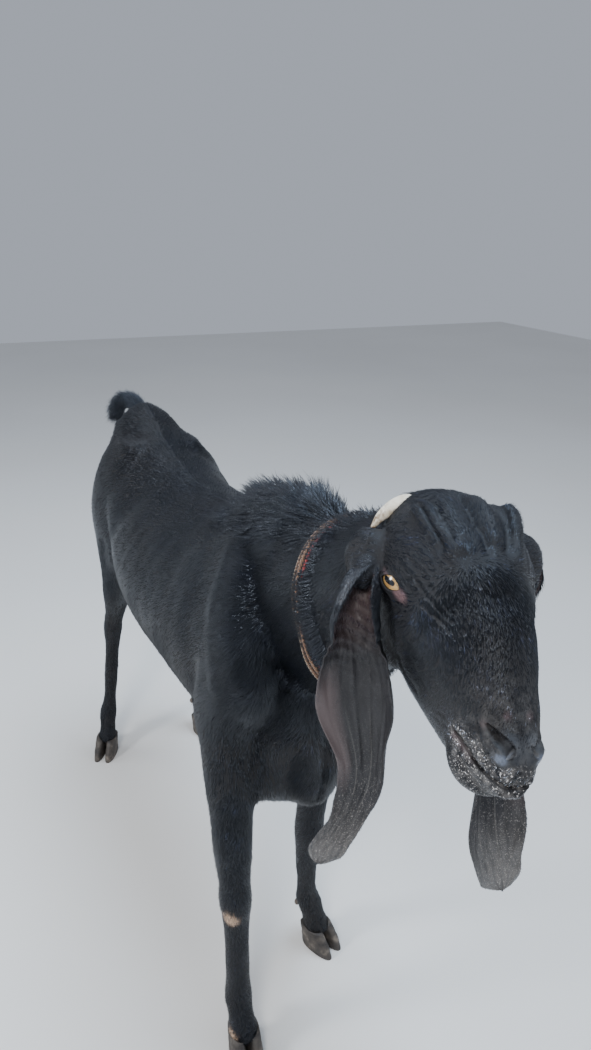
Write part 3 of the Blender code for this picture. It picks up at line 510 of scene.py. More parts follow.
def skull_forms():
    """Braincase and Roman nose, nostril wings, lips, chin, brows, cheeks, ear bases and folds."""
    rows = (
        (0.030, 0.000, 0.034, 0.030, 0.045),
        (0.000, 0.007, 0.046, 0.046, 0.075),
        (-0.035, 0.010, 0.058, 0.056, 0.096),
        (-0.070, 0.012, 0.060, 0.058, 0.110),
        (-0.100, 0.008, 0.053, 0.059, 0.104),
        (-0.130, 0.000, 0.0435, 0.058, 0.092),
        (-0.165, -0.004, 0.0340, 0.050, 0.080),
        (-0.195, -0.010, 0.0270, 0.038, 0.061),
        (-0.220, -0.015, 0.0210, 0.026, 0.040),
        (-HEAD_LENGTH, -0.017, 0.0105, 0.011, 0.016),
    )
    forms = [loft_along_y(rows, sides=48, steps=8, roof=2.2, keel=1.9)]
    forms.append(ball((0.0, -0.193, -0.051), (0.026, 0.030, 0.023)))
    lid = EYE_RADIUS + LID_THICKNESS
    for side in (-1, 1):
        forms.append(ball((side * 0.0098, -0.219, -0.001), (0.0098, 0.014, 0.0120)))
        forms.append(ball((side * 0.0112, -0.207, -0.018), (0.0125, 0.020, 0.010)))
        brow = Vector((side * EYE_PLACE[0], EYE_PLACE[1] + 0.004, EYE_PLACE[2] + 0.012))
        forms.append(ball(brow, (0.014, 0.024, 0.012)))
        forms.append(ball(on_side(EYE_PLACE, side), (lid, lid, lid)))
        forms.append(ball((side * 0.034, -0.055, -0.050), (0.020, 0.045, 0.038)))
        forms.append(ball(on_side(EAR_ROOT, side), EAR_BASES[side]))
    for offset in (-0.034, -0.012, 0.012, 0.034):
        rows = (
            (offset * 0.8, -0.008, 0.052 - 0.5 * abs(offset), 0.006, 0.006),
            (offset * 1.05, -0.040, 0.060, 0.008, 0.008),
            (offset * 0.95, -0.074, 0.062, 0.007, 0.007),
            (offset * 0.72, -0.102, 0.057, 0.005, 0.005),
            (offset * 0.50, -0.132, 0.048, 0.003, 0.003),
        )
        forms.append(loft_along_path(rows, sides=16))
    for mesh in forms:
        mesh.transform(HEAD)
    for ear in EARS.values():
        root = HEAD @ on_side(EAR_ROOT, ear["side"])
        first = Vector(ear["path"][0])
        face = Vector(ear["facing"][0]).normalized()
        stations = (
            (-0.40, 0.004, 0.000, 0.0130),
            (0.00, 0.007, 0.004, 0.0150),
            (0.40, 0.009, 0.010, 0.0140),
            (0.70, 0.012, 0.014, 0.0108),
            (0.98, 0.014, 0.018, 0.0065),
        )
        rows = []
        for t, ahead, lift, size in stations:
            place = root.lerp(first, t) + face * ahead + Vector((0, 0, lift))
            rows.append((*place, size, size))
        forms.append(loft_along_path(rows, sides=24))
    return forms


def on_side(place, side):
    """A point or direction given for the left of the head, on the asked side of it."""
    return Vector((side * place[0], place[1], place[2]))


def eye_frame(side):
    """Axes at one eye: along the slit of the lids, across it, and out of the head."""
    out = on_side(EYE_OUTWARD, side)
    forward = Vector((0.0, -1.0, 0.0))
    along = (forward - out * forward.dot(out)).normalized()
    along = Matrix.Rotation(math.radians(side * EYE_SLANT), 3, out) @ along
    across = out.cross(along)
    turn = Matrix((along, across, out)).transposed().to_4x4()
    return HEAD @ Matrix.Translation(on_side(EYE_PLACE, side)) @ turn


# Creases and ridges of the face in the head's frame: height, breadth, whether both sides have it,
# and points on its right side.
CREASES = (
    (-0.0052, 0.0040, False, ((-0.040, -0.026, 0.056), (-0.038, -0.050, 0.069),
      (-0.037, -0.074, 0.067), (-0.034, -0.085, 0.065), (-0.033, -0.101, 0.056))),
    (-0.0055, 0.0040, False, ((0.006, -0.008, 0.050), (0.003, -0.031, 0.065), (-0.001, -0.063, 0.070),
      (0.001, -0.085, 0.069), (-0.001, -0.107, 0.065))),
    (-0.0034, 0.0046, False, ((0.036, -0.022, 0.055), (0.031, -0.050, 0.067), (0.021, -0.083, 0.066),
      (0.013, -0.105, 0.064))),
    (0.0042, 0.0085, False, ((-0.018, -0.008, 0.054), (-0.020, -0.057, 0.067), (-0.020, -0.086, 0.066),
      (-0.021, -0.103, 0.063))),
    (0.0046, 0.0080, False, ((0.014, -0.012, 0.056), (0.013, -0.067, 0.070), (0.009, -0.095, 0.066))),
    (0.0020, 0.0060, False, ((-0.046, -0.030, 0.055), (-0.046, -0.057, 0.062), (-0.043, -0.085, 0.056))),
    (0.0022, 0.0090, False, ((0.040, -0.030, 0.060), (0.036, -0.056, 0.066), (0.029, -0.080, 0.064))),
    (-0.0012, 0.0017, True, ((-0.058, -0.067, 0.030), (-0.051, -0.091, 0.034), (-0.043, -0.114, 0.034),
      (-0.033, -0.142, 0.033))),
    (0.0009, 0.0022, True, ((-0.056, -0.069, 0.036), (-0.049, -0.094, 0.038), (-0.041, -0.116, 0.037),
      (-0.032, -0.140, 0.035))),
    (-0.0012, 0.0016, True, ((-0.053, -0.072, 0.041), (-0.046, -0.096, 0.042), (-0.040, -0.116, 0.040),
      (-0.031, -0.139, 0.037))),
    (-0.0010, 0.0018, True, ((-0.049, -0.072, 0.047), (-0.042, -0.097, 0.048), (-0.036, -0.115, 0.045))),
    (-0.0010, 0.0018, True, ((-0.044, -0.071, 0.053), (-0.037, -0.094, 0.054), (-0.034, -0.113, 0.050))),
    (-0.0015, 0.0018, True, ((-0.049, -0.107, 0.024), (-0.040, -0.128, 0.028), (-0.032, -0.149, 0.029))),
    (-0.0015, 0.0015, True, ((-0.062, -0.055, 0.011), (-0.060, -0.067, 0.018),
      (-0.058, -0.075, 0.0215), (-0.055, -0.086, 0.024), (-0.052, -0.097, 0.0255),
      (-0.049, -0.107, 0.026))),
    (-0.0014, 0.0014, True, ((-0.063, -0.056, 0.003), (-0.059, -0.062, -0.003),
      (-0.059, -0.078, 0.000), (-0.056, -0.089, 0.004), (-0.051, -0.101, 0.013))),
    (-0.0026, 0.0022, True, ((-0.067, -0.050, 0.014), (-0.064, -0.056, 0.000),
      (-0.060, -0.058, -0.010), (-0.057, -0.062, -0.020), (-0.054, -0.064, -0.032))),
    (0.0018, 0.0026, True, ((-0.070, -0.047, 0.014), (-0.069, -0.052, 0.000), (-0.064, -0.053, -0.013))),
    (0.0028, 0.0032, True, ((-0.064, -0.029, 0.027), (-0.072, -0.039, 0.019), (-0.076, -0.045, 0.010),
      (-0.074, -0.050, 0.000), (-0.068, -0.052, -0.015))),
    (-0.0014, 0.0018, True, ((-0.028, -0.192, -0.011), (-0.025, -0.203, -0.012),
      (-0.021, -0.217, -0.012), (-0.011, -0.238, -0.015))),
    (0.0011, 0.0024, True, ((-0.029, -0.192, -0.016), (-0.026, -0.206, -0.017),
      (-0.021, -0.220, -0.017), (-0.010, -0.240, -0.019))),
    (0.0020, 0.0034, True, ((-0.028, -0.180, -0.039), (-0.0265, -0.191, -0.036),
      (-0.023, -0.205, -0.034), (-0.019, -0.218, -0.034), (-0.012, -0.234, -0.030),
      (0.0, -0.240, -0.027))),
    (-0.0022, 0.0016, True, ((-0.024, -0.199, 0.005), (-0.023, -0.209, -0.004),
      (-0.020, -0.222, -0.009), (-0.012, -0.236, -0.011))),
    (0.0012, 0.0026, True, ((-0.021, -0.206, 0.000), (-0.019, -0.218, -0.003),
      (-0.013, -0.232, -0.005))),
    (-0.0010, 0.0018, True, ((-0.032, -0.156, -0.042), (-0.030, -0.172, -0.030),
      (-0.029, -0.184, -0.024))),
    (-0.0010, 0.0018, True, ((-0.029, -0.155, -0.052), (-0.029, -0.171, -0.039),
      (-0.028, -0.182, -0.032))),
    (0.0014, 0.0060, True, ((-0.050, -0.104, -0.012), (-0.045, -0.123, -0.014),
      (-0.038, -0.145, -0.020), (-0.032, -0.164, -0.024))),
    (-0.0016, 0.0080, True, ((-0.044, -0.118, 0.006), (-0.036, -0.145, 0.006), (-0.029, -0.172, 0.004))),
    (-0.0016, 0.0060, True, ((-0.046, -0.098, -0.041), (-0.038, -0.114, -0.053),
      (-0.031, -0.139, -0.053))),
)


def nearest_on_path(points, path):
    """The least distance from each point to a line through a few stations, and how far along it."""
    line = smooth_run(path, 4)
    best, place = np.full(len(points), 1.0), np.zeros(len(points))
    for index, (start, end) in enumerate(zip(line[:-1], line[1:])):
        along = end - start
        t = np.clip((points - start) @ along / (along @ along), 0, 1)
        gap = np.linalg.norm(points - start - t[:, None] * along, axis=1)
        place = np.where(gap < best, (index + t) / (len(line) - 1), place)
        best = np.minimum(best, gap)
    return best, place


def distance_to_path(points, path):
    return nearest_on_path(points, path)[0]


def mirrored(path):
    """A path given for one side of the head, on the other."""
    return np.array(path) * (-1, 1, 1)


def folded_right(local):
    """Head points folded to the right side."""
    return np.hstack([-np.abs(local[:, :1]), local[:, 1:]])


def waves(points, size, seed, count=5):
    """A smooth field between about -1 and 1: a sum of sine waves of one size in random ways."""
    rng = np.random.default_rng(seed)
    total = np.zeros(len(points))
    for _ in range(count):
        way = unit(rng.normal(size=3)) * 2 * math.pi / (size * rng.uniform(0.7, 1.4))
        total += np.sin(points @ way + rng.uniform(0, 6.3))
    return total / math.sqrt(count)


def fold_face(mesh):
    """Moves the face in along its creases and out along its ridges, with loose skin between."""
    points = points_of(mesh)
    local = to_head(points)
    folded = folded_right(local)
    shift = np.zeros(len(points))
    wander = 0.0010 * np.abs(waves(local, 0.016, 17))
    for height, breadth, both, path in CREASES:
        gap, place = nearest_on_path(folded if both else local, np.array(path))
        meets_middle = path[-1][0] == 0
        fade = smoothstep(0.0, 0.16, place) * np.maximum(smoothstep(1.0, 0.80, place), meets_middle)
        shift += height * fade * np.exp(-(((gap + wander) / breadth) ** 2))
    shift += 0.0004 * waves(local, 0.030, 3) * smoothstep(0.02, -0.02, local[:, 1])
    move_points(mesh, points + normals_of(mesh) * shift[:, None])
    return mesh


# Bones, muscles and hollows of the body: height, breadth and points on its left side, with the
# legs in the standard stance.
BODY_FORMS = (
    (0.0030, 0.012, ((0.070, -0.165, 0.740), (0.100, -0.200, 0.670), (0.116, -0.235, 0.600))),
    (-0.0030, 0.015, ((0.075, -0.240, 0.735), (0.098, -0.280, 0.640))),
    (-0.0055, 0.019, ((0.095, -0.125, 0.730), (0.118, -0.128, 0.640), (0.126, -0.132, 0.540))),
    (0.0040, 0.024, ((0.118, -0.165, 0.610), (0.128, -0.175, 0.520))),
    (0.0055, 0.020, ((0.093, -0.295, 0.605), (0.098, -0.292, 0.590))),
    (0.0045, 0.014, ((0.130, -0.160, 0.480), (0.130, -0.160, 0.470))),
    (-0.0035, 0.012, ((0.105, -0.288, 0.560), (0.118, -0.262, 0.500))),
    (-0.0060, 0.014, ((0.0, -0.318, 0.610), (0.0, -0.326, 0.520), (0.0, -0.300, 0.440))),
    (0.0040, 0.018, ((0.034, -0.315, 0.600), (0.032, -0.318, 0.520))),
    (-0.0080, 0.034, ((0.095, 0.190, 0.680), (0.112, 0.212, 0.640))),
    (0.0075, 0.016, ((0.086, 0.266, 0.752), (0.090, 0.272, 0.748))),
    (0.0065, 0.013, ((0.048, 0.425, 0.748), (0.049, 0.430, 0.744))),
    (-0.0045, 0.018, ((0.085, 0.318, 0.735), (0.065, 0.388, 0.745))),
    (0.0050, 0.022, ((0.125, 0.262, 0.530), (0.125, 0.262, 0.505))),
    (-0.0035, 0.014, ((0.122, 0.302, 0.560), (0.112, 0.330, 0.480))),
    (0.0045, 0.012, ((0.115, 0.215, 0.560), (0.108, 0.238, 0.490))),
    (-0.0045, 0.012, ((0.090, 0.390, 0.680), (0.112, 0.400, 0.580), (0.112, 0.395, 0.500))),
    (0.0026, 0.009, ((0.0, 0.000, 0.735), (0.0, 0.150, 0.727), (0.0, 0.280, 0.765),
      (0.0, 0.400, 0.792))),
    (-0.0032, 0.010, ((0.062, -0.405, 0.755), (0.064, -0.345, 0.700), (0.057, -0.295, 0.640))),
    (0.0030, 0.012, ((0.0, -0.440, 0.700), (0.0, -0.340, 0.612))),
    (-0.0035, 0.009, ((0.122, 0.398, 0.410), (0.113, 0.412, 0.352))),
    (0.0030, 0.010, ((0.101, 0.436, 0.350), (0.101, 0.438, 0.340))),
    (0.0022, 0.012, ((0.107, -0.280, 0.275), (0.107, -0.280, 0.255))),
    (0.0030, 0.008, ((0.112, -0.227, 0.285), (0.112, -0.227, 0.278))),
)
RIB_SPACING = 0.034
RIB_HEIGHT = 0.0004
LOOSE_HEIGHT = 0.0008


def in_stance(points):
    """Body points folded to the left side, with each leg carried back to the standard stance."""
    out = points.copy()
    for name, leg in LEGS.items():
        mine = on_leg_side(points, name)
        inward, forward = carried(leg, points[mine, 2])
        out[mine, 0] += leg["side"] * inward
        out[mine, 1] += forward
    out[:, 0] = np.abs(out[:, 0])
    return out


def model_body(mesh):
    """Raises bones and muscles, sinks the hollows between them, and shows the ribs a little."""
    points = points_of(mesh)
    folded = in_stance(points)
    _, y, z = folded.T
    shift = np.zeros(len(points))
    for height, breadth, path in BODY_FORMS:
        shift += height * np.exp(-((distance_to_path(folded, np.array(path)) / breadth) ** 2))
    slanted = y - 0.25 * (0.60 - z)
    chest = smoothstep(-0.125, -0.070, slanted) * smoothstep(0.200, 0.110, slanted)
    chest *= smoothstep(0.440, 0.520, z) * smoothstep(0.720, 0.650, z)
    shift += RIB_HEIGHT * chest * np.sin(2 * math.pi * slanted / RIB_SPACING)
    shift += LOOSE_HEIGHT * waves(points, 0.11, 13)
    move_points(mesh, points + normals_of(mesh) * shift[:, None])
    return mesh


def sunk(mesh, depth):
    """The mesh moved in by a depth of its own at each point."""
    move_points(mesh, points_of(mesh) - normals_of(mesh) * depth[:, None])
    return mesh


def surface_of(mesh):
    work = bmesh.new()
    work.from_mesh(mesh)
    tree = BVHTree.FromBMesh(work)
    work.free()
    return tree


def laid_on(surface, points, depth=0.0):
    """The places on a surface nearest to a few points, sunk by a depth."""
    found = [surface.find_nearest(Vector(point)) for point in points]
    return [place - normal * depth for place, normal, _, _ in found]


def almond(side, scale=1.0, count=64):
    """Points of the lids' opening in the eye's frame: two arcs that meet in a point at each end."""
    turn = turns(count)
    along = np.cos(turn)
    across = np.sign(np.sin(turn)) * (1 - np.abs(along) ** 1.9) ** 0.8
    tilt = math.radians(SLIT_TILT)
    x, y = SLIT_HALF[0] * scale * along, SLIT_HALF[1] * scale * across
    x, y = x * math.cos(tilt) - y * math.sin(tilt), x * math.sin(tilt) + y * math.cos(tilt)
    return x + SLIT_MIDDLE[0], side * -1 * (y + SLIT_MIDDLE[1])


def lid_slit(side):
    """A closed tool with the almond as its section, a little wider at its outer end."""
    x, y = almond(side)
    rings = [np.stack([x * grow, y * grow, 0 * x + z], 1) for z, grow in ((0.003, 1.0), (0.040, 1.12))]
    mesh = skin_rings(np.array(rings))
    mesh.transform(eye_frame(side))
    return mesh


def lid_rim(side):
    """A thin soft edge around the opening, lying on the ball of the eye."""
    x, y = almond(side, 1.08)
    lift = np.sqrt((EYE_RADIUS + 0.0006) ** 2 - x**2 - y**2)
    line = np.stack([x, y, lift], 1)
    tangent = unit(np.roll(line, -1, axis=0) - np.roll(line, 1, axis=0))
    out = unit(line)
    over = np.cross(tangent, out)
    turn = turns(10)[None, :, None]
    rings = line[:, None] + 0.0013 * (np.cos(turn) * out[:, None] + np.sin(turn) * over[:, None])
    mesh = outward(array_mesh("lid_rim", rings.reshape(-1, 3), closed_faces(len(line), 10)))
    mesh.transform(eye_frame(side))
    return mesh


# Points of the mouth's line and of a nostril on the left side, in the head's frame
MOUTH_LINE = (
    (0.0, -0.242, -0.0190),
    (0.0090, -0.238, -0.0190),
    (0.0165, -0.227, -0.0220),
    (0.0230, -0.209, -0.0235),
    (0.0272, -0.188, -0.0265),
)
NOSTRIL = (
    (0.0205, -0.2070, 0.0072),
    (0.0158, -0.2155, 0.0060),
    (0.0115, -0.2240, 0.0045),
    (0.0080, -0.2330, 0.0028),
)


def carve_face(head):
    """Opens the lids, the mouth line and the nostrils."""
    surface = surface_of(head)
    right = [HEAD @ on_side(point, -1) for point in reversed(MOUTH_LINE)]
    left = [HEAD @ on_side(point, 1) for point in MOUTH_LINE[1:]]
    line = laid_on(surface, right + left)
    size = np.interp(np.arange(9), (0, 1, 7, 8), (0.0014, 0.0027, 0.0027, 0.0014))
    rows = [(*point, 0.85 * s, 2.2 * s) for point, s in zip(line, size)]
    head = boolean(head, loft_along_path(rows, sides=12, across=(0, 0, 1)), "DIFFERENCE")
    head_up = HEAD_TURNING[:, 2]
    for side in (-1, 1):
        run = smooth_run([HEAD @ on_side(point, side) for point in NOSTRIL], 3)
        points = laid_on(surface, run, 0.0015)
        sizes = 0.0013 + 0.0023 * np.sin(np.linspace(0.0, math.pi, len(points)) ** 0.8)
        rows = [(*point, size, 0.0100) for point, size in zip(points, sizes)]
        head = boolean(head, loft_along_path(rows, sides=12, steps=3, across=head_up), "DIFFERENCE")
        head = boolean(head, lid_rim(side), "UNION")
        head = boolean(head, lid_slit(side), "DIFFERENCE")
        socket = ball((0, 0, 0), (EYE_RADIUS + 0.0002,) * 3, 64)
        socket.transform(eye_frame(side))
        head = boolean(head, socket, "DIFFERENCE")
    return head


def coat_depth(points):
    """How deep the coat is: thin on the face and the lower legs, deeper on neck and trunk."""
    face = smoothstep(0.045, 0.0, to_head(points)[:, 1])
    leg = smoothstep(0.45, 0.30, points[:, 2])
    depth = COAT_BODY * (1 - 0.55 * leg)
    return depth * (1 - face) + COAT_FACE * face


def make_skin():
    """Body and head, each blended and modelled at its own fineness, joined under the collar."""
    forms = [torso_loft(), neck_loft(), withers_ridge(), loft_along_path(TAIL_ROWS)]
    forms += [ball(BRISKET_PLACE, BRISKET_SIZE)] + [leg_loft(name) for name in LEGS]
    body = fused(forms, BODY_VOXEL, BODY_SMOOTHING)
    head = fused(skull_forms() + [neck_loft()], HEAD_VOXEL, HEAD_SMOOTHING)
    body = model_body(sunk(body, coat_depth(points_of(body))))
    head = fold_face(sunk(head, coat_depth(points_of(head))))
    head = boolean(head, half_space(COLLAR_POINT, COLLAR_NORMAL, shift=-NECK_OVERLAP), "INTERSECT")
    head = carve_face(head)
    body = boolean(body, half_space(COLLAR_POINT, COLLAR_NORMAL, shift=NECK_OVERLAP), "DIFFERENCE")
    body = boolean(body, half_space((0, 0, CORONET - 0.002), (0, 0, -1), 2.0), "DIFFERENCE")
    skin = boolean(body, head, "UNION")
    skin.name = "goat_skin"
    return skin


# Shading


def fill(tree, made, inputs):
    """Links each value that is a socket to the node's input of that name, and sets the others."""
    for key, value in inputs.items():
        if isinstance(value, bpy.types.NodeSocket):
            tree.links.new(value, made.inputs[key])
        else:
            made.inputs[key].default_value = value


def node(tree, kind, inputs, **settings):
    """Adds a node, sets its fields, and fills or links its sockets."""
    made = tree.nodes.new(kind)
    for key, value in settings.items():
        setattr(made, key, value)
    fill(tree, made, inputs)
    return made


def material(name):
    """A new material, its nodes and its shader."""
    made = bpy.data.materials.new(name)
    made.use_nodes = True
    return made, made.node_tree, made.node_tree.nodes["Principled BSDF"]


def ramp(tree, factor, *stops):
    """Colours blended from stop to stop: each has a place and a colour."""
    made = node(tree, "ShaderNodeValToRGB", {"Fac": factor})
    elements = made.color_ramp.elements
    while len(elements) > 1:
        elements.remove(elements[-1])
    elements[0].position = stops[0][0]
    elements[0].color = (*stops[0][1], 1.0)
    for place, colour in stops[1:]:
        elements.new(place).color = (*colour, 1.0)
    return made.outputs["Color"]


def fade(tree, factor, *stops):
    """Values blended from stop to stop: each has a place and a value."""
    return ramp(tree, factor, *((place, (value,) * 3) for place, value in stops))


def mix(tree, factor, first, second, blend="MIX"):
    """The first colour turned into the second, or blended with it, by a factor."""
    values = {0: factor, 6: first, 7: second}
    for index in (6, 7):
        if isinstance(values[index], tuple):
            values[index] = (*values[index], 1.0)
    return node(tree, "ShaderNodeMix", values, data_type="RGBA", blend_type=blend).outputs[2]


def maths(tree, operation, *values):
    return node(tree, "ShaderNodeMath", dict(enumerate(values)), operation=operation).outputs[0]


def times(tree, first, second):
    return maths(tree, "MULTIPLY", first, second)


def plus(tree, first, second):
    return maths(tree, "ADD", first, second)


def noise(tree, scale, detail=4.0, roughness=0.55, vector=None):
    """Noise over the object's own coordinates, or over a vector."""
    if vector is None:
        vector = node(tree, "ShaderNodeTexCoord", {}).outputs["Object"]
    inputs = {"Vector": vector, "Scale": scale, "Detail": detail, "Roughness": roughness}
    return node(tree, "ShaderNodeTexNoise", inputs).outputs["Fac"]


def attribute(tree, name, output="Fac"):
    return node(tree, "ShaderNodeAttribute", {}, attribute_name=name).outputs[output]


def vector_of(tree, x, y=0.0):
    return node(tree, "ShaderNodeCombineXYZ", {"X": x, "Y": y}).outputs[0]


def bump(tree, height, strength, distance):
    """A normal that follows a height."""
    inputs = {"Height": height, "Strength": strength, "Distance": distance}
    return node(tree, "ShaderNodeBump", inputs).outputs["Normal"]


# Colours of coat and skin
COAT_BLACK = (0.0048, 0.0056, 0.0085)
COAT_BROWN = (0.0095, 0.0080, 0.0082)
DUST = (0.50, 0.48, 0.46)
BARE_TAN = (0.55, 0.38, 0.26)
PINK = (0.165, 0.095, 0.098)
NOSE_GREY = (0.042, 0.046, 0.054)
# Painted highlight of the wet patch on the nose
WET_HIGHLIGHT_GREY = (0.13, 0.155, 0.21)


def coat_marks_group():
    """Colour of coat and skin: black and brown-black, with dust, bare tan, pink and grey places.

    The places come from an attribute of the mesh: red is dust, green is bare tan, blue is pink,
    and a second attribute holds the bare grey of the nose, whose highest values, on its wet patch,
    get a painted highlight.
    """
    group = bpy.data.node_groups.new("coat_marks", "ShaderNodeTree")
    group.interface.new_socket("Colour", in_out="OUTPUT", socket_type="NodeSocketColor")
    parts = node(group, "ShaderNodeSeparateColor", {"Color": attribute(group, "marks", "Color")})
    dusty, tan, pink = (parts.outputs[name] for name in ("Red", "Green", "Blue"))
    bare = attribute(group, "bare")
    broad, fine = noise(group, 4.0, 3.0), noise(group, 60.0, 4.0)
    both = maths(group, "MULTIPLY_ADD", fine, 0.3, times(group, broad, 0.7))
    colour = ramp(group, both, (0.44, COAT_BLACK), (0.64, COAT_BROWN))
    patchy = fade(group, noise(group, 230.0, 4.0), (0.30, 0.55), (0.50, 1.0))
    colour = mix(group, times(group, tan, patchy), colour, BARE_TAN)
    mottled = fade(group, noise(group, 380.0, 3.0), (0.36, 0.55), (0.58, 1.0))
    colour = mix(group, times(group, pink, mottled), colour, PINK)
    colour = mix(group, fade(group, bare, (0.0, 0.0), (0.6, 1.0)), colour, NOSE_GREY)
    # The wet patch gets a painted highlight: pale blue-grey over the grey of the nose
    wet = times(group, fade(group, bare, (0.58, 0.0), (1.0, 1.0)), mottled)
    colour = mix(group, wet, colour, WET_HIGHLIGHT_GREY)
    specks = fade(group, noise(group, 640.0, 2.0), (0.600, 0.0), (0.65, 1.0))
    crumbs = times(group, fade(group, dusty, (0.35, 0.0), (0.85, 1.0)), specks)
    haze = times(group, dusty, fade(group, noise(group, 130.0, 5.0), (0.42, 0.0), (0.78, 0.32)))
    colour = mix(group, maths(group, "MAXIMUM", crumbs, haze), colour, DUST)
    node(group, "NodeGroupOutput", {"Colour": colour})
    return group


COAT_MARKS = coat_marks_group()


def marks_colour(tree):
    """The coat's marks as a colour in a material."""
    return node(tree, "ShaderNodeGroup", {}, node_tree=COAT_MARKS).outputs["Colour"]


def skin_material():
    """Skin under the coat: its marks, smoother where bare, with a fine grain."""
    made, tree, shader = material("goat_skin")
    grain = maths(tree, "MULTIPLY_ADD", noise(tree, 1500.0, 2.0), 0.5, noise(tree, 420.0, 3.0))
    fill(tree, shader, {
        "Base Color": marks_colour(tree),
        "Roughness": maths(tree, "MULTIPLY_ADD", attribute(tree, "bare"), -0.42, 0.66),
        "Specular IOR Level": 0.32,
        "Normal": bump(tree, grain, 0.45, 0.0012),
    })
    return made


def coat_material():
    """Hair: the coat's colour, varied a little from tuft to tuft, with a cool gloss and bluish-white
    painted highlights on the lightest tufts.
    """
    made, tree, shader = material("coat_hair")
    shade = attribute(tree, "shade")
    # The top of this ramp, from 0.86 to 1, paints bluish-white highlights into the lightest tufts
    tone = ramp(tree, shade, (0.0, (0.4,) * 3), (0.7, (1.6, 1.6, 1.7)), (0.86, (2.4, 2.5, 2.7)),
                (1.0, (17.0, 20.0, 25.0)))
    fill(tree, shader, {
        "Base Color": mix(tree, 1.0, marks_colour(tree), tone, "MULTIPLY"),
        "Roughness": maths(tree, "MULTIPLY_ADD", shade, -0.16, 0.42),
        "Specular IOR Level": 0.70,
        "Specular Tint": (0.74, 0.85, 1.0, 1.0),
    })
    return made


def finish(obj, finish_material, slot, *replaced):
    """Gives a piece its material and smooth shading, hangs it on the root body and hides the parts it
    stands for.
    """
    obj.data.materials.clear()
    obj.data.materials.append(finish_material)
    obj.data.shade_smooth()
    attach(obj, "root")
    if replaced:
        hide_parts(*replaced)
    return obj


# Where the coat is marked


# Bare patches of the right foreleg, and pink spots of the muzzle with their reach
KNEE_PATCH = (-0.1187, -0.284, 0.246)
PASTERN_PATCH = (-0.1255, -0.304, 0.038)
MUZZLE_SPOTS = (((-0.0216, -0.2058, 0.0047), 0.0035), ((-0.0084, -0.2089, 0.0172), 0.0040))


def beside_eye(points, side):
    """Body points in the frame of an eye, with y up on both sides."""
    inverse = np.array(eye_frame(side).inverted())
    seen = points @ inverse[:3, :3].T + inverse[:3, 3]
    return seen * (1, -side, 1)


def spot(points, place, reach):
    """One at a place, falling to none at the given reaches along the three axes."""
    gap = np.linalg.norm((points - np.array(place)) / np.array(reach), axis=1)
    return smoothstep(1.2, 0.45, gap)


def marks(points):
    """Amounts of dust, bare tan skin and pink skin at body points, as red, green and blue."""
    local = to_head(points)
    _, head_y, head_z = local.T
    folded = folded_right(local)
    slit = distance_to_path(folded, mirrored(MOUTH_LINE))
    lips = np.exp(-((slit / 0.011) ** 2)) * smoothstep(-0.17, -0.20, head_y)
    muzzle = smoothstep(-0.165, -0.225, head_y)
    chin = smoothstep(-0.17, -0.20, head_y) * smoothstep(-0.020, -0.035, head_z)
    dust = np.clip(1.5 * lips + 0.40 * muzzle + 0.45 * chin, 0, 1)
    dust = dust * smoothstep(0.0022, 0.0038, slit) * (1 - bare_nose(points))
    tan = np.maximum(spot(points, KNEE_PATCH, (0.015, 0.016, 0.0125)),
                     spot(points, PASTERN_PATCH, (0.012, 0.014, 0.012)))
    pink = [0.6 * spot(folded, (-0.068, -0.046, -0.026), (0.012, 0.014, 0.012))]
    for side in (-1, 1):
        seen = beside_eye(points, side)
        pink.append(0.85 * spot(seen, (0.0093, -0.0028, 0.012), (0.0095, 0.0062, 0.03)))
        pink.append(0.35 * spot(seen, (-0.0120, 0.0026, 0.010), (0.0060, 0.0017, 0.02)))
    pink += [0.20 * spot(folded, place, (reach,) * 3) for place, reach in MUZZLE_SPOTS]
    lower_lip = distance_to_path(folded, mirrored(MOUTH_LINE[2:]) - (0, 0, 0.0045))
    corner = smoothstep(-0.222, -0.196, head_y)
    pink.append(0.35 * corner * np.exp(-((lower_lip / 0.0032) ** 2)))
    return np.stack([dust, tan, np.max(pink, axis=0), np.ones(len(points))], 1)


def bare_nose(points):
    """How bare and grey the skin is: most on the pad of the nose and the wings of the nostrils."""
    folded = folded_right(to_head(points))
    pad = 0.52 * spot(folded, (-0.006, -0.228, 0.004), (0.010, 0.014, 0.009))
    wing = 0.55 * spot(folded, (-0.014, -0.229, -0.003), (0.008, 0.011, 0.006))
    # The wet patch, where the nose's colour also carries a painted highlight
    wet = spot(folded, (-0.0145, -0.2300, -0.0020), (0.0058, 0.0085, 0.0060))
    inside = smoothstep(0.0014, 0.0030, distance_to_path(folded, mirrored(NOSTRIL)))
    return np.max([pad, wing, wet], axis=0) * inside


ATTRIBUTE_KINDS = {1: ("FLOAT", "value"), 3: ("FLOAT_VECTOR", "vector"), 4: ("FLOAT_COLOR", "color")}


def set_attribute(mesh, name, values):
    """Stores a number, a vector or a colour for each vertex of a mesh."""
    kind, field = ATTRIBUTE_KINDS[values.size // len(values)]
    layer = mesh.attributes.new(name, kind, "POINT")
    layer.data.foreach_set(field, values.astype(np.float32).ravel())


# The coat


def flat_on(way, normal):
    """Directions turned into the plane of the surface."""
    return unit(way - (way * normal).sum(1, keepdims=True) * normal)


def strayed(lie, normal, limit):
    """Directions that each turn a little to one side, at random."""
    return unit(lie + spread(len(lie), -limit, limit)[:, None] * np.cross(normal, lie))


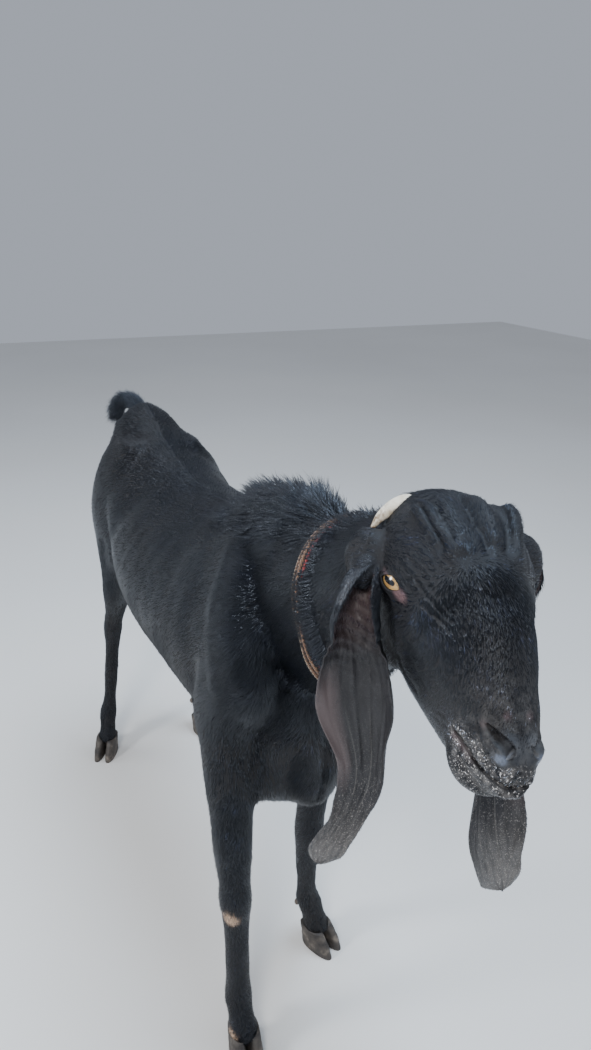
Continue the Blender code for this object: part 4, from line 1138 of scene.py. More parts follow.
def lie_of(points, normals):
    """Which way the hair lies: back and down over the body, down the legs, out over the face."""
    flank = np.abs(normals[:, 0])
    outward_x = 0.35 * np.sign(points[:, 0]) * (1 - flank)
    down = -0.25 - 0.75 * flank - 1.5 * normals[:, 1] ** 2
    way = np.stack([outward_x, np.ones(len(points)), down], 1)
    leg = smoothstep(0.60, 0.48, points[:, 2])[:, None] * (np.abs(points[:, 0]) > 0.035)[:, None]
    way = way * (1 - leg) + np.array((0.0, 0.12, -1.0)) * leg
    local = to_head(points)
    face = smoothstep(0.060, 0.010, local[:, 1])[:, None]
    nose = smoothstep(-0.082, -0.132, local[:, 1])[:, None]
    side = smoothstep(0.020, -0.015, local[:, 2])[:, None]
    aside = local[:, :1] / 0.03 * np.array((1.0, 0.0, 0.0))
    whorl = 0.6 * np.exp(-(((local[:, 1:2] + 0.108) / 0.022) ** 2)) * np.array((1.0, 0.0, 0.0))
    crown = 1.1 * aside + whorl + (0.0, 1.0, 0.1)
    bridge = 0.8 * aside + whorl + (0.0, -1.0, -0.35)
    cheek = np.array((0.0, 0.25, -1.0))
    top = crown * (1 - nose) + bridge * nose
    on_head = (top * (1 - side) + cheek * side) @ HEAD_TURNING.T
    way = way * (1 - face) + on_head * face
    swirl = 0.30 * waves(points, 0.09, 5)[:, None]
    return flat_on(way + swirl * np.cross(normals, unit(way)), normals)


def scatter(mesh, count, weight, upward=False):
    """Places spread at random over a mesh, or its upper side, by area and by a weight of places."""
    points, normals, faces = points_of(mesh), normals_of(mesh), triangles_of(mesh)
    corners = points[faces]
    facing = np.cross(corners[:, 1] - corners[:, 0], corners[:, 2] - corners[:, 0])
    share = np.linalg.norm(facing, axis=1) / 2 * weight(corners.mean(1))
    if upward:
        share = share * (facing[:, 2] > 0)
    share /= share.sum()
    chosen = RANDOM.choice(len(faces), size=count, p=share)
    a, b = RANDOM.random(count), RANDOM.random(count)
    flip = a + b > 1
    a, b = np.where(flip, 1 - a, a), np.where(flip, 1 - b, b)
    blend = np.stack([1 - a - b, a, b], 1)[:, :, None]
    return (corners[chosen] * blend).sum(1), unit((normals[faces[chosen]] * blend).sum(1))


def unwrap(points):
    """A place on the flattened skin for each body point: trunk, legs and head each in a field."""
    uv = np.empty((len(points), 2))
    uv[:, 0] = 0.02 + 0.46 * part_of_turn(points[:, 0], points[:, 2] - 0.62)
    uv[:, 1] = 0.02 + 0.60 * np.clip((points[:, 1] + 0.50) / 1.02, 0, 1)
    for index, name in enumerate(LEGS):
        foot = foot_place(name)
        mine = (points[:, 2] < 0.44) & on_leg_side(points, name)
        around = part_of_turn(points[mine, 0] - foot[0], points[mine, 1] - foot[1] - 0.02)
        uv[mine, 0] = 0.52 + 0.115 * index + 0.10 * around
        uv[mine, 1] = 0.02 + points[mine, 2]
    local = to_head(points)
    head = local[:, 1] < 0.03
    uv[head, 0] = 0.52 + 0.46 * part_of_turn(local[head, 0], local[head, 2] + 0.02)
    uv[head, 1] = 0.50 + 0.48 * np.clip((local[head, 1] + 0.26) / 0.30, 0, 1)
    return uv


def part_of_turn(across, upward):
    return np.arctan2(across, upward) / (2 * math.pi) + 0.5


def tufts(name, root, normal, lie, length, width, rise, fall, shade, rings=1, sink=0.0012, marked=None):
    """Tapered three-sided tufts, one at each root, joined in one mesh.

    The middle line is a curve of the second order: it leaves the root at the angle rise above the
    lie, meets its control point half way, and ends at the angle fall. Ring i of a tuft has three
    points around that line, and the last point is the tip.
    """
    rise, fall = np.radians(rise)[:, None], np.radians(fall)[:, None]
    length, width = length[:, None], width[:, None]
    start = root - normal * sink
    middle = start + 0.5 * length * (lie * np.cos(rise) + normal * np.sin(rise))
    end = middle + 0.5 * length * (lie * np.cos(fall) + normal * np.sin(fall))
    across = np.cross(normal, lie)
    stack = []
    for t in np.arange(rings) / rings:
        line = (1 - t) ** 2 * start + 2 * t * (1 - t) * middle + t * t * end
        wide = width * (1 - t) ** 0.8
        stack += [line - across * wide / 2, line + across * wide / 2, line + normal * wide * 0.45]
    stack.append(end)
    points = np.stack(stack, 1)
    size = points.shape[1]
    faces = []
    for ring in range(rings - 1):
        for corner in range(3):
            a, b = 3 * ring + corner, 3 * ring + (corner + 1) % 3
            faces += [(a, b, b + 3), (a, b + 3, a + 3)]
    last = 3 * (rings - 1)
    faces += [(last + corner, last + (corner + 1) % 3, size - 1) for corner in range(3)]
    faces = (np.array(faces)[None] + size * np.arange(len(root))[:, None, None]).reshape(-1, 3)
    mesh = array_mesh(name, points.reshape(-1, 3) + MODEL_SHIFT, faces)
    patch = np.stack([np.tile((-1, 1, 0), rings).tolist() + [0], np.linspace(-1, 1, size)], -1)
    place = unwrap(root)[:, None, :] + BAKE_PATCH / 2 * patch
    layer = mesh.uv_layers.new(name="OFBake")
    layer.data.foreach_set("uv", place.reshape(-1, 2)[faces.ravel()].astype(np.float32).ravel())
    set_attribute(mesh, "marks", np.repeat(marks(root) if marked is None else marked, size, axis=0))
    set_attribute(mesh, "shade", np.repeat(shade, size))
    return new_object(name, mesh)


def spread(count, low, high):
    """Random values between two limits."""
    return RANDOM.uniform(low, high, count)


def clear_of_openings(points):
    """One where hair grows, none in the eyes, the nostrils and the mouth."""
    keep = np.ones(len(points))
    local = to_head(points)
    for side in (-1, 1):
        seen = beside_eye(points, side) - np.array((*SLIT_MIDDLE, 0.0))
        rim = np.hypot(seen[:, 0] / (SLIT_HALF[0] + 0.0016), seen[:, 1] / (SLIT_HALF[1] + 0.0016))
        keep[(rim < 1.0) & (seen[:, 2] > 0) & (np.abs(seen[:, 2]) < 0.03)] = 0.0
        nostril = distance_to_path(local, NOSTRIL if side > 0 else mirrored(NOSTRIL))
        keep *= smoothstep(0.0040, 0.0090, nostril)
    lips = distance_to_path(folded_right(local), mirrored(MOUTH_LINE))
    pink = marks(points)[:, 2] * (local[:, 1] > -0.15)
    return keep * smoothstep(0.0030, 0.0060, lips) * (1 - 0.9 * bare_nose(points)) * (1 - 0.9 * pink)


def ahead_of_collar(points):
    """Distance along the neck from the middle of the collar, more toward the head."""
    return (points - np.array(COLLAR_POINT)) @ np.array(COLLAR_NORMAL) + 0.002


def hair_length(points):
    """Length of the short coat: least on lips and lower legs, most on the neck and the belly."""
    _, y, z = points.T
    _, head_y, head_z = to_head(points).T
    face = smoothstep(0.050, 0.005, head_y)
    muzzle = smoothstep(-0.125, -0.205, head_y)
    crown = smoothstep(-0.06, 0.0, head_y) * smoothstep(0.02, 0.05, head_z)
    neck = smoothstep(-0.13, -0.27, y) * smoothstep(0.50, 0.60, z)
    leg = smoothstep(0.52, 0.28, z)
    belly = smoothstep(0.50, 0.44, z) * (1 - leg)
    body = 0.0135 + 0.0060 * neck + 0.003 * belly - 0.0060 * leg
    back = smoothstep(-0.03, 0.01, head_y)
    head = 0.0064 - 0.0036 * muzzle - 0.0020 * crown + 0.0060 * back
    length = body * (1 - face) + head * face
    ahead = ahead_of_collar(points)
    return length * (1 - 0.55 * smoothstep(0.022, 0.004, np.abs(ahead)) * (ahead < 0.010))


def gathered(root, lie, length, size, pull):
    """Turns tufts toward the middle of the small patch each grows in, so their tips draw together."""
    cell = np.floor(root / size + 0.2 * np.stack([waves(root, 3 * size, 40 + k) for k in range(3)], 1))
    _, group = np.unique(cell.astype(int), axis=0, return_inverse=True)
    group = group.ravel()
    count = np.bincount(group)
    middle = np.stack([np.bincount(group, root[:, k]) / count for k in range(3)], 1)[group]
    tone = np.random.default_rng(5).random(len(count))[group]
    return unit(lie + pull * (middle - root) / length[:, None]), tone


# Where each piece of the short coat grows: one inside its part of the body, none outside it


def on_crown(points):
    head_y = to_head(points)[:, 1]
    border = smoothstep(-0.125, -0.105, head_y)
    return clear_of_openings(points) * (head_y < 0.035) * border


def on_face(points):
    head_y = to_head(points)[:, 1]
    border = smoothstep(-0.105, -0.125, head_y)
    return clear_of_openings(points) * border * (1.0 + 0.5 * smoothstep(-0.15, -0.2, head_y))


def on_neck(points):
    _, y, z = points.T
    behind = smoothstep(-0.15, -0.24, y) * smoothstep(0.52, 0.60, z)
    return (to_head(points)[:, 1] > 0.02) * behind


def on_trunk(points):
    _, y, z = points.T
    neck = smoothstep(-0.24, -0.20, y) + smoothstep(0.62, 0.56, z)
    head = smoothstep(0.03, 0.08, to_head(points)[:, 1])
    return np.minimum(neck, 1) * head * smoothstep(0.38, 0.44, z)


def on_legs(points):
    z = points[:, 2]
    return smoothstep(0.50, 0.40, z) * (z > CORONET)


# The pieces of the short coat: share of the tufts, where they grow, breadth, rise in degrees,
# size of the patches they gather in and how strongly, and how light they are, darker on the legs as painted
# shade
COAT_PIECES = {
    "coat_crown": (1.0, on_crown, (0.0005, 0.0009), (3.0, 14.0), 0.0030, 0.35, 1.0),
    "coat_face": (1.0, on_face, (0.0005, 0.0009), (5.0, 16.0), 0.0028, 0.4, 1.0),
    "coat_neck": (1.0, on_neck, (0.0009, 0.0017), (10.0, 30.0), 0.0075, 0.7, 1.0),
    "coat_trunk_a": (1.0, on_trunk, (0.0012, 0.0021), (5.0, 13.0), 0.0075, 0.28, 0.75),
    "coat_trunk_b": (1.0, on_trunk, (0.0012, 0.0021), (5.0, 13.0), 0.0075, 0.28, 0.75),
    # The legs' lower lightness is painted shade
    "coat_legs": (0.72, on_legs, (0.0008, 0.0014), (6.0, 18.0), 0.0050, 0.5, 0.5),
}
# Share of crown and face tufts lifted into the painted bluish-white highlights
PAINTED_GLINT_SHARE = 0.26


def short_coat(skin, hair):
    """The short coat, in pieces for crown, face, neck, trunk and legs."""
    for name, (share, weight, breadth, rise, cell, pull, light) in COAT_PIECES.items():
        count = int(share * PIECE_TUFTS)
        root, normal = scatter(skin, count, weight)
        length = hair_length(root) * spread(count, 0.7, 1.2)
        lie = strayed(lie_of(root, normal), normal, 0.20)
        lie, tone = gathered(root, lie, length, cell, pull)
        lift = spread(count, *rise)
        shade = 0.12 + 0.38 * tone + 0.15 * waves(root, 0.05, 8) + spread(count, 0.0, 0.35)
        # On the legs the lower lightness is painted shade
        shade = light * np.clip(shade, 0, 0.86)
        # Some crown and face tufts are lifted into the painted highlights at the top of the coat's tone
        # ramp
        if name in ("coat_crown", "coat_face"):
            shade = shade + 0.16 * (RANDOM.random(count) < PAINTED_GLINT_SHARE) * (shade > 0.35)
        breadths = spread(count, *breadth)
        piece = tufts(name, root, normal, lie, length, breadths, lift, lift * 0.3, shade, 1, 0.0003)
        finish(piece, hair, "coat")


# Long hair


def on_crest(points):
    """Where the long hair grows: on the withers, the crest of the neck and behind the horns."""
    x, y, z = points.T
    near = smoothstep(-0.30, -0.36, y)
    reach = 0.032 + 0.022 * near
    top = smoothstep(reach + 0.022, reach, np.abs(x))
    along = smoothstep(-0.05, -0.10, y) * (to_head(points)[:, 1] > 0.012)
    free = smoothstep(0.010, 0.014, np.abs(ahead_of_collar(points)))
    return top * along * free * (z > 0.70)


def long_hair(skin, hair):
    """Mane over the withers, crest of the neck, and hair behind the horns, in loose locks."""
    count = amount(12500)
    root, normal = scatter(skin, count, on_crest, upward=True)
    x, y, _ = root.T
    away = np.sign(x) * smoothstep(0.0, 0.03, np.abs(x))
    sway = np.stack([waves(root, 0.03, 21), waves(root, 0.03, 22), 0 * away], 1)
    back = np.stack([0.8 * away, 0 * away + 1.0, 0 * away], 1)
    lie = flat_on(unit(0.4 * lie_of(root, normal) + back + 0.3 * sway), normal)
    lie = strayed(lie, normal, 0.2)
    behind = smoothstep(-0.35, -0.27, y)
    rear = smoothstep(-0.20, -0.06, y)
    poll = smoothstep(0.08, 0.03, to_head(root)[:, 1])
    length = (0.026 + 0.019 * behind * (1 - 0.55 * rear) - 0.015 * poll) * spread(count, 0.7, 1.15)
    ahead = ahead_of_collar(root)
    over = smoothstep(0.040, 0.025, ahead) * (ahead > 0.0)
    length = length + 0.008 * over
    lie, tone = gathered(root, lie, length, 0.011, 0.9)
    middle = smoothstep(0.045, 0.0, np.abs(x))
    rise = (20.0 + 34.0 * middle) * (1 - 0.5 * poll) + 8.0 * waves(root, 0.025, 31) + spread(count, -8, 8)
    rise = rise + over * (55.0 - rise)
    fall = rise - 40.0 - 25.0 * over
    shade = np.clip(0.1 + 0.4 * tone + spread(count, 0.0, 0.35), 0, 1)
    width = spread(count, 0.0008, 0.0015)
    finish(tufts("mane", root, normal, lie, length, width, rise, fall, shade, 3, 0.001), hair, "coat")


def ahead_of_strands(points):
    """Where hair grows that lies over the collar: a band ahead of it, thin at the throat."""
    ahead, z = ahead_of_collar(points), points[:, 2]
    height = smoothstep(0.800, 0.784, z) * (0.30 + 0.70 * smoothstep(0.690, 0.720, z))
    return smoothstep(0.010, 0.013, ahead) * smoothstep(0.030, 0.022, ahead) * height


def hair_over_collar(skin, hair):
    """Hair of the neck that grows ahead of the collar and lies back over its strands."""
    count = amount(9000)
    root, normal = scatter(skin, count, ahead_of_strands)
    lie = flat_on(unit(lie_of(root, normal) + np.array((0.0, 0.9, -0.35))), normal)
    lie = strayed(lie, normal, 0.25)
    length = spread(count, 0.024, 0.035)
    lie, tone = gathered(root, lie, length, 0.008, 0.7)
    rise = spread(count, 46, 62)
    shade = np.clip(0.15 + 0.4 * tone + spread(count, 0.0, 0.35), 0, 1)
    width = spread(count, 0.0009, 0.0016)
    piece = tufts("coat_collar", root, normal, lie, length, width, rise, rise - 72.0, shade, 2, 0.0005)
    finish(piece, hair, "coat")


def tail_tuft(hair):
    """The tuft around the end of the tail."""
    count = amount(3600)
    run = smooth_run(TAIL_ROWS, 12)[5:]
    ahead = unit(np.gradient(run[:, :3], axis=0))
    pick = RANDOM.integers(0, len(run), count)
    side = unit(np.cross(ahead, (0.3, 0.2, 1.0)))
    other = np.cross(ahead, side)
    angle = spread(count, 0, 2 * math.pi)[:, None]
    normal = side[pick] * np.cos(angle) + other[pick] * np.sin(angle)
    root = run[pick, :3] + normal * (run[pick, 3:4] - 0.002)
    lie = flat_on(unit(ahead[pick] + 0.25 * RANDOM.normal(size=(count, 3))), normal)
    shade = np.clip(0.5 + spread(count, -0.4, 0.4), 0, 1)
    length = spread(count, 0.020, 0.034) * (0.55 + 0.45 * pick / len(run))
    width, rise, fall = spread(count, 0.0010, 0.0018), spread(count, 25, 60), spread(count, -15, 25)
    finish(tufts("tail_tuft", root, normal, lie, length, width, rise, fall, shade, 3), hair, "coat")


# Eyes


def make_eye(side, name):
    """A ball whose points carry their place across the eye, so that iris and pupil can be drawn."""
    globe = ball((0, 0, 0), (EYE_RADIUS,) * 3, 96)
    local = points_of(globe) / EYE_RADIUS * (1, -side, 1)
    local[:, :2] -= unit(np.array((*GAZE, 1.0)))[:2]
    set_attribute(globe, "gaze", local)
    globe.transform(Matrix.Translation(MODEL_SHIFT) @ eye_frame(side))
    return new_object(f"{name}_ball", globe)


# Places across the eye are shares of its radius, from the middle of the iris
PUPIL_MIDDLE = 0.09
PUPIL_HALF = (0.38, 0.165)
IRIS_DARK, IRIS_AMBER, IRIS_PALE = (0.26, 0.14, 0.048), (0.60, 0.37, 0.14), (0.80, 0.60, 0.33)
IRIS_RIM = (0.035, 0.018, 0.010)
EYE_BROWN = (0.16, 0.10, 0.08)
PUPIL_BLACK = (0.004, 0.005, 0.008)


def eye_material():
    """Amber iris with fine spokes, a dark rim and a long level pupil, under a wet surface."""
    made, tree, shader = material("eye")
    gaze = node(tree, "ShaderNodeSeparateXYZ", {"Vector": attribute(tree, "gaze", "Vector")})
    x, y = gaze.outputs["X"], gaze.outputs["Y"]
    radius = maths(tree, "SQRT", plus(tree, times(tree, x, x), times(tree, y, y)))
    angle = maths(tree, "ARCTAN2", y, x)
    spokes = vector_of(tree, times(tree, angle, 9.0), times(tree, radius, 2.5))
    fibres = plus(tree, times(tree, noise(tree, 2.2, 5.0, 0.7, spokes), 0.6), times(tree, radius, 0.5))
    colour = ramp(tree, fibres, (0.36, IRIS_DARK), (0.50, IRIS_AMBER), (0.70, IRIS_PALE))
    colour = mix(tree, fade(tree, radius, (0.60, 0.0), (0.76, 1.0)), colour, IRIS_RIM)
    colour = mix(tree, fade(tree, radius, (0.80, 0.0), (0.90, 1.0)), colour, EYE_BROWN)
    reach = [
        maths(tree, "POWER", maths(tree, "ABSOLUTE", maths(tree, "DIVIDE", place, half)), 3.0)
        for place, half in zip((x, plus(tree, y, -PUPIL_MIDDLE)), PUPIL_HALF)
    ]
    pupil = fade(tree, plus(tree, *reach), (0.75, 1.0), (1.15, 0.0))
    fill(tree, shader, {
        "Base Color": mix(tree, pupil, colour, PUPIL_BLACK),
        "Roughness": 0.18,
        "Coat Weight": 1.0,
        "Coat Roughness": 0.03,
    })
    return made


# Horns


# The path of a horn on the left side, in the head's frame, with half breadth and half thickness
HORN_ROWS = (
    (0.014, -0.002, 0.020, 0.0085, 0.0070),
    (0.026, 0.001, 0.0350, 0.0085, 0.0062),
    (0.0385, 0.002, 0.0315, 0.0080, 0.0054),
    (0.0500, 0.000, 0.0205, 0.0058, 0.0040),
    (0.0570, -0.003, 0.0080, 0.0016, 0.0016),
)
HORN_SIDES = 40
HORN_RINGS = 11
HORN_DARK, HORN_CREAM, HORN_DIRT = (0.52, 0.45, 0.33), (0.76, 0.71, 0.60), (0.16, 0.09, 0.04)


def make_horn(side, name):
    """A flat horn over a path: growth rings swell its sections a little, closer near the root."""
    run = smooth_run([(*(HEAD @ on_side(row[:3], side)), *row[3:]) for row in HORN_ROWS], 24)
    along = np.linspace(0, 1, len(run))
    growth = 0.014 * np.sin(2 * math.pi * HORN_RINGS * along**0.8) * (1 - along)
    run[:, 3:] *= 1 + growth[:, None]
    edge = 1 + 0.02 * np.sin(5 * turns(HORN_SIDES))[:, None]
    rings = rings_along(run, HORN_SIDES, HEAD_TURNING[:, 1], edge)
    mesh = skin_rings(rings + MODEL_SHIFT, name)
    set_attribute(mesh, "along", np.repeat(along, HORN_SIDES))
    return new_object(f"{name}_horn", mesh)


def horn_material():
    """Cream keratin with streaks, fine rings, and dirt toward the tip."""
    made, tree, shader = material("horn")
    along = attribute(tree, "along")
    streaks = noise(tree, 90.0, 5.0, 0.6)
    clouded = ramp(tree, streaks, (0.35, HORN_DARK), (0.65, HORN_CREAM))
    near_tip = fade(tree, along, (0.45, 0.0), (0.85, 1.0))
    dirt = times(tree, near_tip, fade(tree, noise(tree, 220.0, 4.0), (0.42, 0.0), (0.62, 1.0)))
    ringed = {"Vector": vector_of(tree, along), "Scale": 7.0, "Distortion": 2.0}
    rings = node(tree, "ShaderNodeTexWave", ringed).outputs["Fac"]
    relief = maths(tree, "MULTIPLY_ADD", rings, 0.25, streaks)
    fill(tree, shader, {
        "Base Color": mix(tree, dirt, clouded, HORN_DIRT),
        "Roughness": 0.42,
        "Normal": bump(tree, relief, 0.3, 0.0005),
    })
    return made


# Ears


EAR_ACROSS = 61
# Raised veins of an ear: place across it, how far they sway, height and breadth
EAR_VEINS = (
    (-0.24, 0.05, 0.0007, 0.035),
    (0.20, 0.07, 0.0010, 0.040),
    (-0.02, 0.04, -0.0005, 0.060),
    (0.46, 0.06, 0.0005, 0.030),
    (0.70, 0.03, -0.0005, 0.050),
    (-0.52, 0.05, 0.0004, 0.030),
)
EAR_STEPS = 30
EAR_DARK, EAR_GREY, EAR_PALE = (0.0085, 0.0085, 0.0105), (0.0175, 0.017, 0.020), (0.038, 0.037, 0.040)
EAR_CUP = (0.13, 0.070, 0.060)
EAR_LOBE = (0.115, 0.086, 0.087)
EAR_LOW = (0.155, 0.148, 0.143)
# Painted highlight along the ear's vein ridges
EAR_VEIN_HIGHLIGHT = (0.11, 0.105, 0.10)
EAR_DUST = (0.40, 0.38, 0.36)


def ear_sheet(name):
    """The middle line of each section of a folded sheet that hangs along a path.

    Point (i, j) is reached by walking across section i in equal steps, on a heading that turns
    steadily by the curl and turns back by the lobe over the rear third. Fine waves and two veins
    lift it along its own normal.
    """
    ear = EARS[name]
    root = HEAD @ on_side(EAR_ROOT, ear["side"])
    stations = [(*place, *shape) for place, shape in zip((root, *ear["path"]), ear["shape"])]
    run = smooth_run(stations, EAR_STEPS)
    tangent = unit(np.gradient(run[:, :3], axis=0))
    blend = np.linspace(0.0, 1.0, len(run))[:, None]
    face = (1 - blend) * np.array(ear["facing"][0]) + blend * np.array(ear["facing"][1])
    face = unit(face - (face * tangent).sum(1, keepdims=True) * tangent)
    wide = ear["side"] * np.cross(face, tangent)
    v = np.linspace(-1.0, 1.0, EAR_ACROSS)[None]
    heading = np.radians(run[:, 4:5]) * v / 2 + np.radians(run[:, 5:6]) * np.clip((-0.25 - v) / 0.75, 0, 1)
    middle = (heading[:, 1:] + heading[:, :-1]) / 2
    s = np.linspace(0.0, 1.0, len(run))[:, None]
    tip = np.sqrt(np.clip(1 - (np.clip(s - 0.84, 0, 1) / 0.16) ** 3.2, 0.004, 1))
    edge = 1 + (0.03 * np.sin(19.0 * s + 1.0) + 0.015 * np.sin(43.0 * s)) * smoothstep(0.95, 0.80, s)
    step = EAR_WIDTH * run[:, 3:4] * tip * edge / (EAR_ACROSS - 1)
    zero = np.zeros((len(run), 1))
    along = np.hstack([zero, np.cumsum(np.cos(middle) * step, axis=1)])
    toward = np.hstack([zero, np.cumsum(np.sin(middle) * step, axis=1)])
    along -= along[:, EAR_ACROSS // 2, None]
    toward -= toward[:, EAR_ACROSS // 2, None]
    sheet = run[:, None, :3] + along[..., None] * wide[:, None] + toward[..., None] * face[:, None]
    upright = -np.sin(heading)[..., None] * wide[:, None] + np.cos(heading)[..., None] * face[:, None]
    veins = np.zeros((len(run), EAR_ACROSS))
    for place, sway, height, breadth in EAR_VEINS:
        line = place + sway * np.sin(6.0 * s + 9 * place)
        fading = smoothstep(0.18, 0.32, s) * smoothstep(1.0, 0.8, s)
        veins += height * np.exp(-(((v - line) / breadth) ** 2)) * fading
    folds = 0.0008 * np.sin(190.0 * s + 6.0 * v + 2.5 * np.sin(3 * v)) + 0.0009 * np.sin(71.0 * s + 4.0 * v)
    folds = folds * np.exp(-(((s - 0.25) / 0.07) ** 2))
    ripple = 0.0020 * np.sin(23.0 * s + 2.0) * v**2 + 0.0010 * np.sin(47.0 * s + 3 * v) * v**4
    loose = 0.0007 * np.sin(31.0 * s + 7.0 * v) * np.sin(9.0 * v + 5.0 * s)
    sheet = sheet + (veins + folds + ripple + loose)[..., None] * upright
    half = EAR_THICKNESS / 2 * (1 - 0.55 * v**2) * np.minimum(1.0, 0.45 + run[:, 3:4])
    return sheet, upright, half, s + 0 * v, v + 0 * s


def make_ear(name):
    """The ear's sheet with its thickness: each section runs over the front and back over the rear."""
    sheet, upright, half, s, v = ear_sheet(name)
    front = sheet + half[..., None] * upright
    back = sheet - half[..., None] * upright
    mesh = skin_rings(np.concatenate([front, back[:, ::-1]], axis=1) + MODEL_SHIFT, name)
    faces = [np.stack([s, v, inner + 0 * v], -1) for inner in (1, 0)]
    place = np.concatenate([faces[0], faces[1][:, ::-1]], axis=1)
    set_attribute(mesh, "sheet", place.reshape(-1, 3))
    return new_object(f"{name}_sheet", mesh)


def vein_highlights(tree, s, v):
    """Two thin pale lines that sway down the lower half of an ear: painted highlights along its vein
    ridges.
    """
    place = plus(tree, v, times(tree, maths(tree, "SINE", times(tree, s, 11.0)), 0.10))
    gaps = [maths(tree, "ABSOLUTE", plus(tree, place, -line)) for line in (-0.30, 0.26)]
    lines = [fade(tree, gap, (0.012, 0.55), (0.030, 0.0)) for gap in gaps]
    low = fade(tree, s, (0.42, 0.0), (0.55, 1.0), (0.90, 1.0), (0.97, 0.0))
    return times(tree, maths(tree, "MAXIMUM", *lines), low)


def ear_material():
    """Thin dark skin, pinker in the cup and along the rear lobe, with painted highlights along its veins
    and a dusty tip.
    """
    made, tree, shader = material("ear_skin")
    place = node(tree, "ShaderNodeSeparateXYZ", {"Vector": attribute(tree, "sheet", "Vector")})
    s, v, inner = (place.outputs[axis] for axis in "XYZ")
    stretched = vector_of(tree, times(tree, s, 9.0), times(tree, v, 3.0))
    streaks, fine = noise(tree, 1.6, 6.0, 0.65, stretched), noise(tree, 300.0, 3.0)
    mottled = plus(tree, times(tree, streaks, 0.7), times(tree, fine, 0.3))
    colour = ramp(tree, mottled, (0.36, EAR_DARK), (0.52, EAR_GREY), (0.68, EAR_PALE))
    cup = times(tree, inner, fade(tree, s, (0.06, 0.40), (0.20, 0.22), (0.30, 0.0)))
    colour = mix(tree, cup, colour, EAR_CUP)
    rear = fade(tree, v, (0.40, 0.0), (0.72, 1.0))
    lobe = times(tree, rear, fade(tree, s, (0.30, 0.0), (0.40, 0.85), (0.56, 0.85), (0.68, 0.0)))
    colour = mix(tree, lobe, colour, EAR_LOBE)
    patchy = fade(tree, streaks, (0.35, 0.5), (0.6, 1.0))
    low = times(tree, fade(tree, s, (0.66, 0.0), (0.92, 0.9)), patchy)
    colour = mix(tree, low, colour, EAR_LOW)
    # Painted highlights along the veins
    colour = mix(tree, vein_highlights(tree, s, v), colour, EAR_VEIN_HIGHLIGHT)
    specks = fade(tree, noise(tree, 800.0, 2.0), (0.58, 0.0), (0.66, 1.0))
    dusty = times(tree, specks, fade(tree, s, (0.45, 0.05), (0.95, 0.75)))
    fill(tree, shader, {
        "Base Color": mix(tree, dusty, colour, EAR_DUST),
        "Roughness": 0.52,
        "Specular IOR Level": 0.45,
        "Normal": bump(tree, plus(tree, streaks, times(tree, fine, 0.5)), 0.5, 0.0008),
    })
    return made


def ear_hair(name, hair):
    """Very short hair over both faces of an ear, longer outside its tube and in its cup."""
    sheet, upright, half, s, v = ear_sheet(name)
    count = amount(22000)
    share = 1 + 5.0 * smoothstep(0.27, 0.20, s[:, 0]) * (s[:, 0] > 0.06)
    at = RANDOM.choice(len(sheet), count, p=share / share.sum()), RANDOM.integers(0, EAR_ACROSS, count)
    tube = smoothstep(0.34, 0.16, s[at])
    outside = RANDOM.random(count) < 0.5 + 0.36 * tube
    normal = upright[at] * np.where(outside, -1.0, 1.0)[:, None]
    ahead = unit(np.gradient(sheet, axis=0))[at]
    over = unit(np.gradient(sheet, axis=1))[at]
    slide = spread(count, -0.5, 0.5)[:, None]
    inland = (np.abs(v[at]) < 0.95)[:, None]
    root = sheet[at] + normal * half[at][:, None]
    root = root + ahead * slide * 0.003 + over * slide[::-1] * 0.0012 * inland
    lie = unit(ahead + 0.3 * over * v[at][:, None] + 0.25 * RANDOM.normal(size=(count, 3)))
    lie = flat_on(lie, normal)
    length = spread(count, 0.7, 1.2) * (0.0022 + 0.0050 * tube * np.where(outside, 1.0, 0.5))
    dust, pink = 0.6 * smoothstep(0.7, 1.0, s[at]), 0.5 * tube * ~outside
    marked = np.stack([dust, 0 * dust, pink, 0 * dust + 1.0], 1)
    shade = np.clip(0.45 + spread(count, -0.3, 0.4), 0, 1)
    rise = 6.0 + 4.0 * tube + spread(count, -3, 8)
    width = spread(count, 0.00035, 0.0006) * (1 + 1.1 * tube * outside)
    name = f"{name}_hair"
    piece = tufts(name, root, normal, lie, length, width, rise, rise * 0.4, shade, 1, 0.0002, marked)
    finish(piece, hair, "coat")


# Hooves


# Level sections of a claw: height, lean back, half width, reach forward and back
HOOF_ROWS = (
    (0.0, -0.012, 0.0110, 0.034, 0.026),
    (0.012, -0.010, 0.0112, 0.032, 0.026),
    (0.026, -0.006, 0.0108, 0.027, 0.024),
    (0.0377, 0.0, 0.0104, 0.023, 0.021),
)
CLAW_OFFSET = 0.0118


def turned_out(points, name, share=1.0):
    """Points turned with the toes of a leg."""
    angle = math.radians(LEGS[name]["side"] * LEGS[name]["toes_out"] * share)
    return points @ np.array(Matrix.Rotation(angle, 3, "Z")).T


def make_claw(name, label, offset):
    """A claw: level sections that lean back as they rise, with rings, a worn edge and a flat inside."""
    z, y, half, ahead, behind = smooth_run(HOOF_ROWS, 14).T[..., None]
    turn = turns(48)
    ring = 1 + 0.012 * np.sin(z / 0.0022) + 0.008 * np.sin(3 * turn + z / 0.004)
    reach = np.where(np.sin(turn) > 0, behind, ahead)
    inner = -np.sign(offset) * np.cos(turn)
    width = half * np.where(inner > 0, 0.93, 1.0)
    x = offset + width * rounded(np.cos(turn), 0.85) * ring
    rings = np.stack([LEGS[name]["side"] * x, y + reach * np.sin(turn) * ring, z + 0 * turn], -1)
    rings = turned_out(rings, name) + (*foot_place(name), 0.0) + MODEL_SHIFT
    return new_object(f"claw_{name}_{label}", skin_rings(rings))


DEWCLAW_HEIGHT = 0.068
DEWCLAW_OFFSET = 0.0095


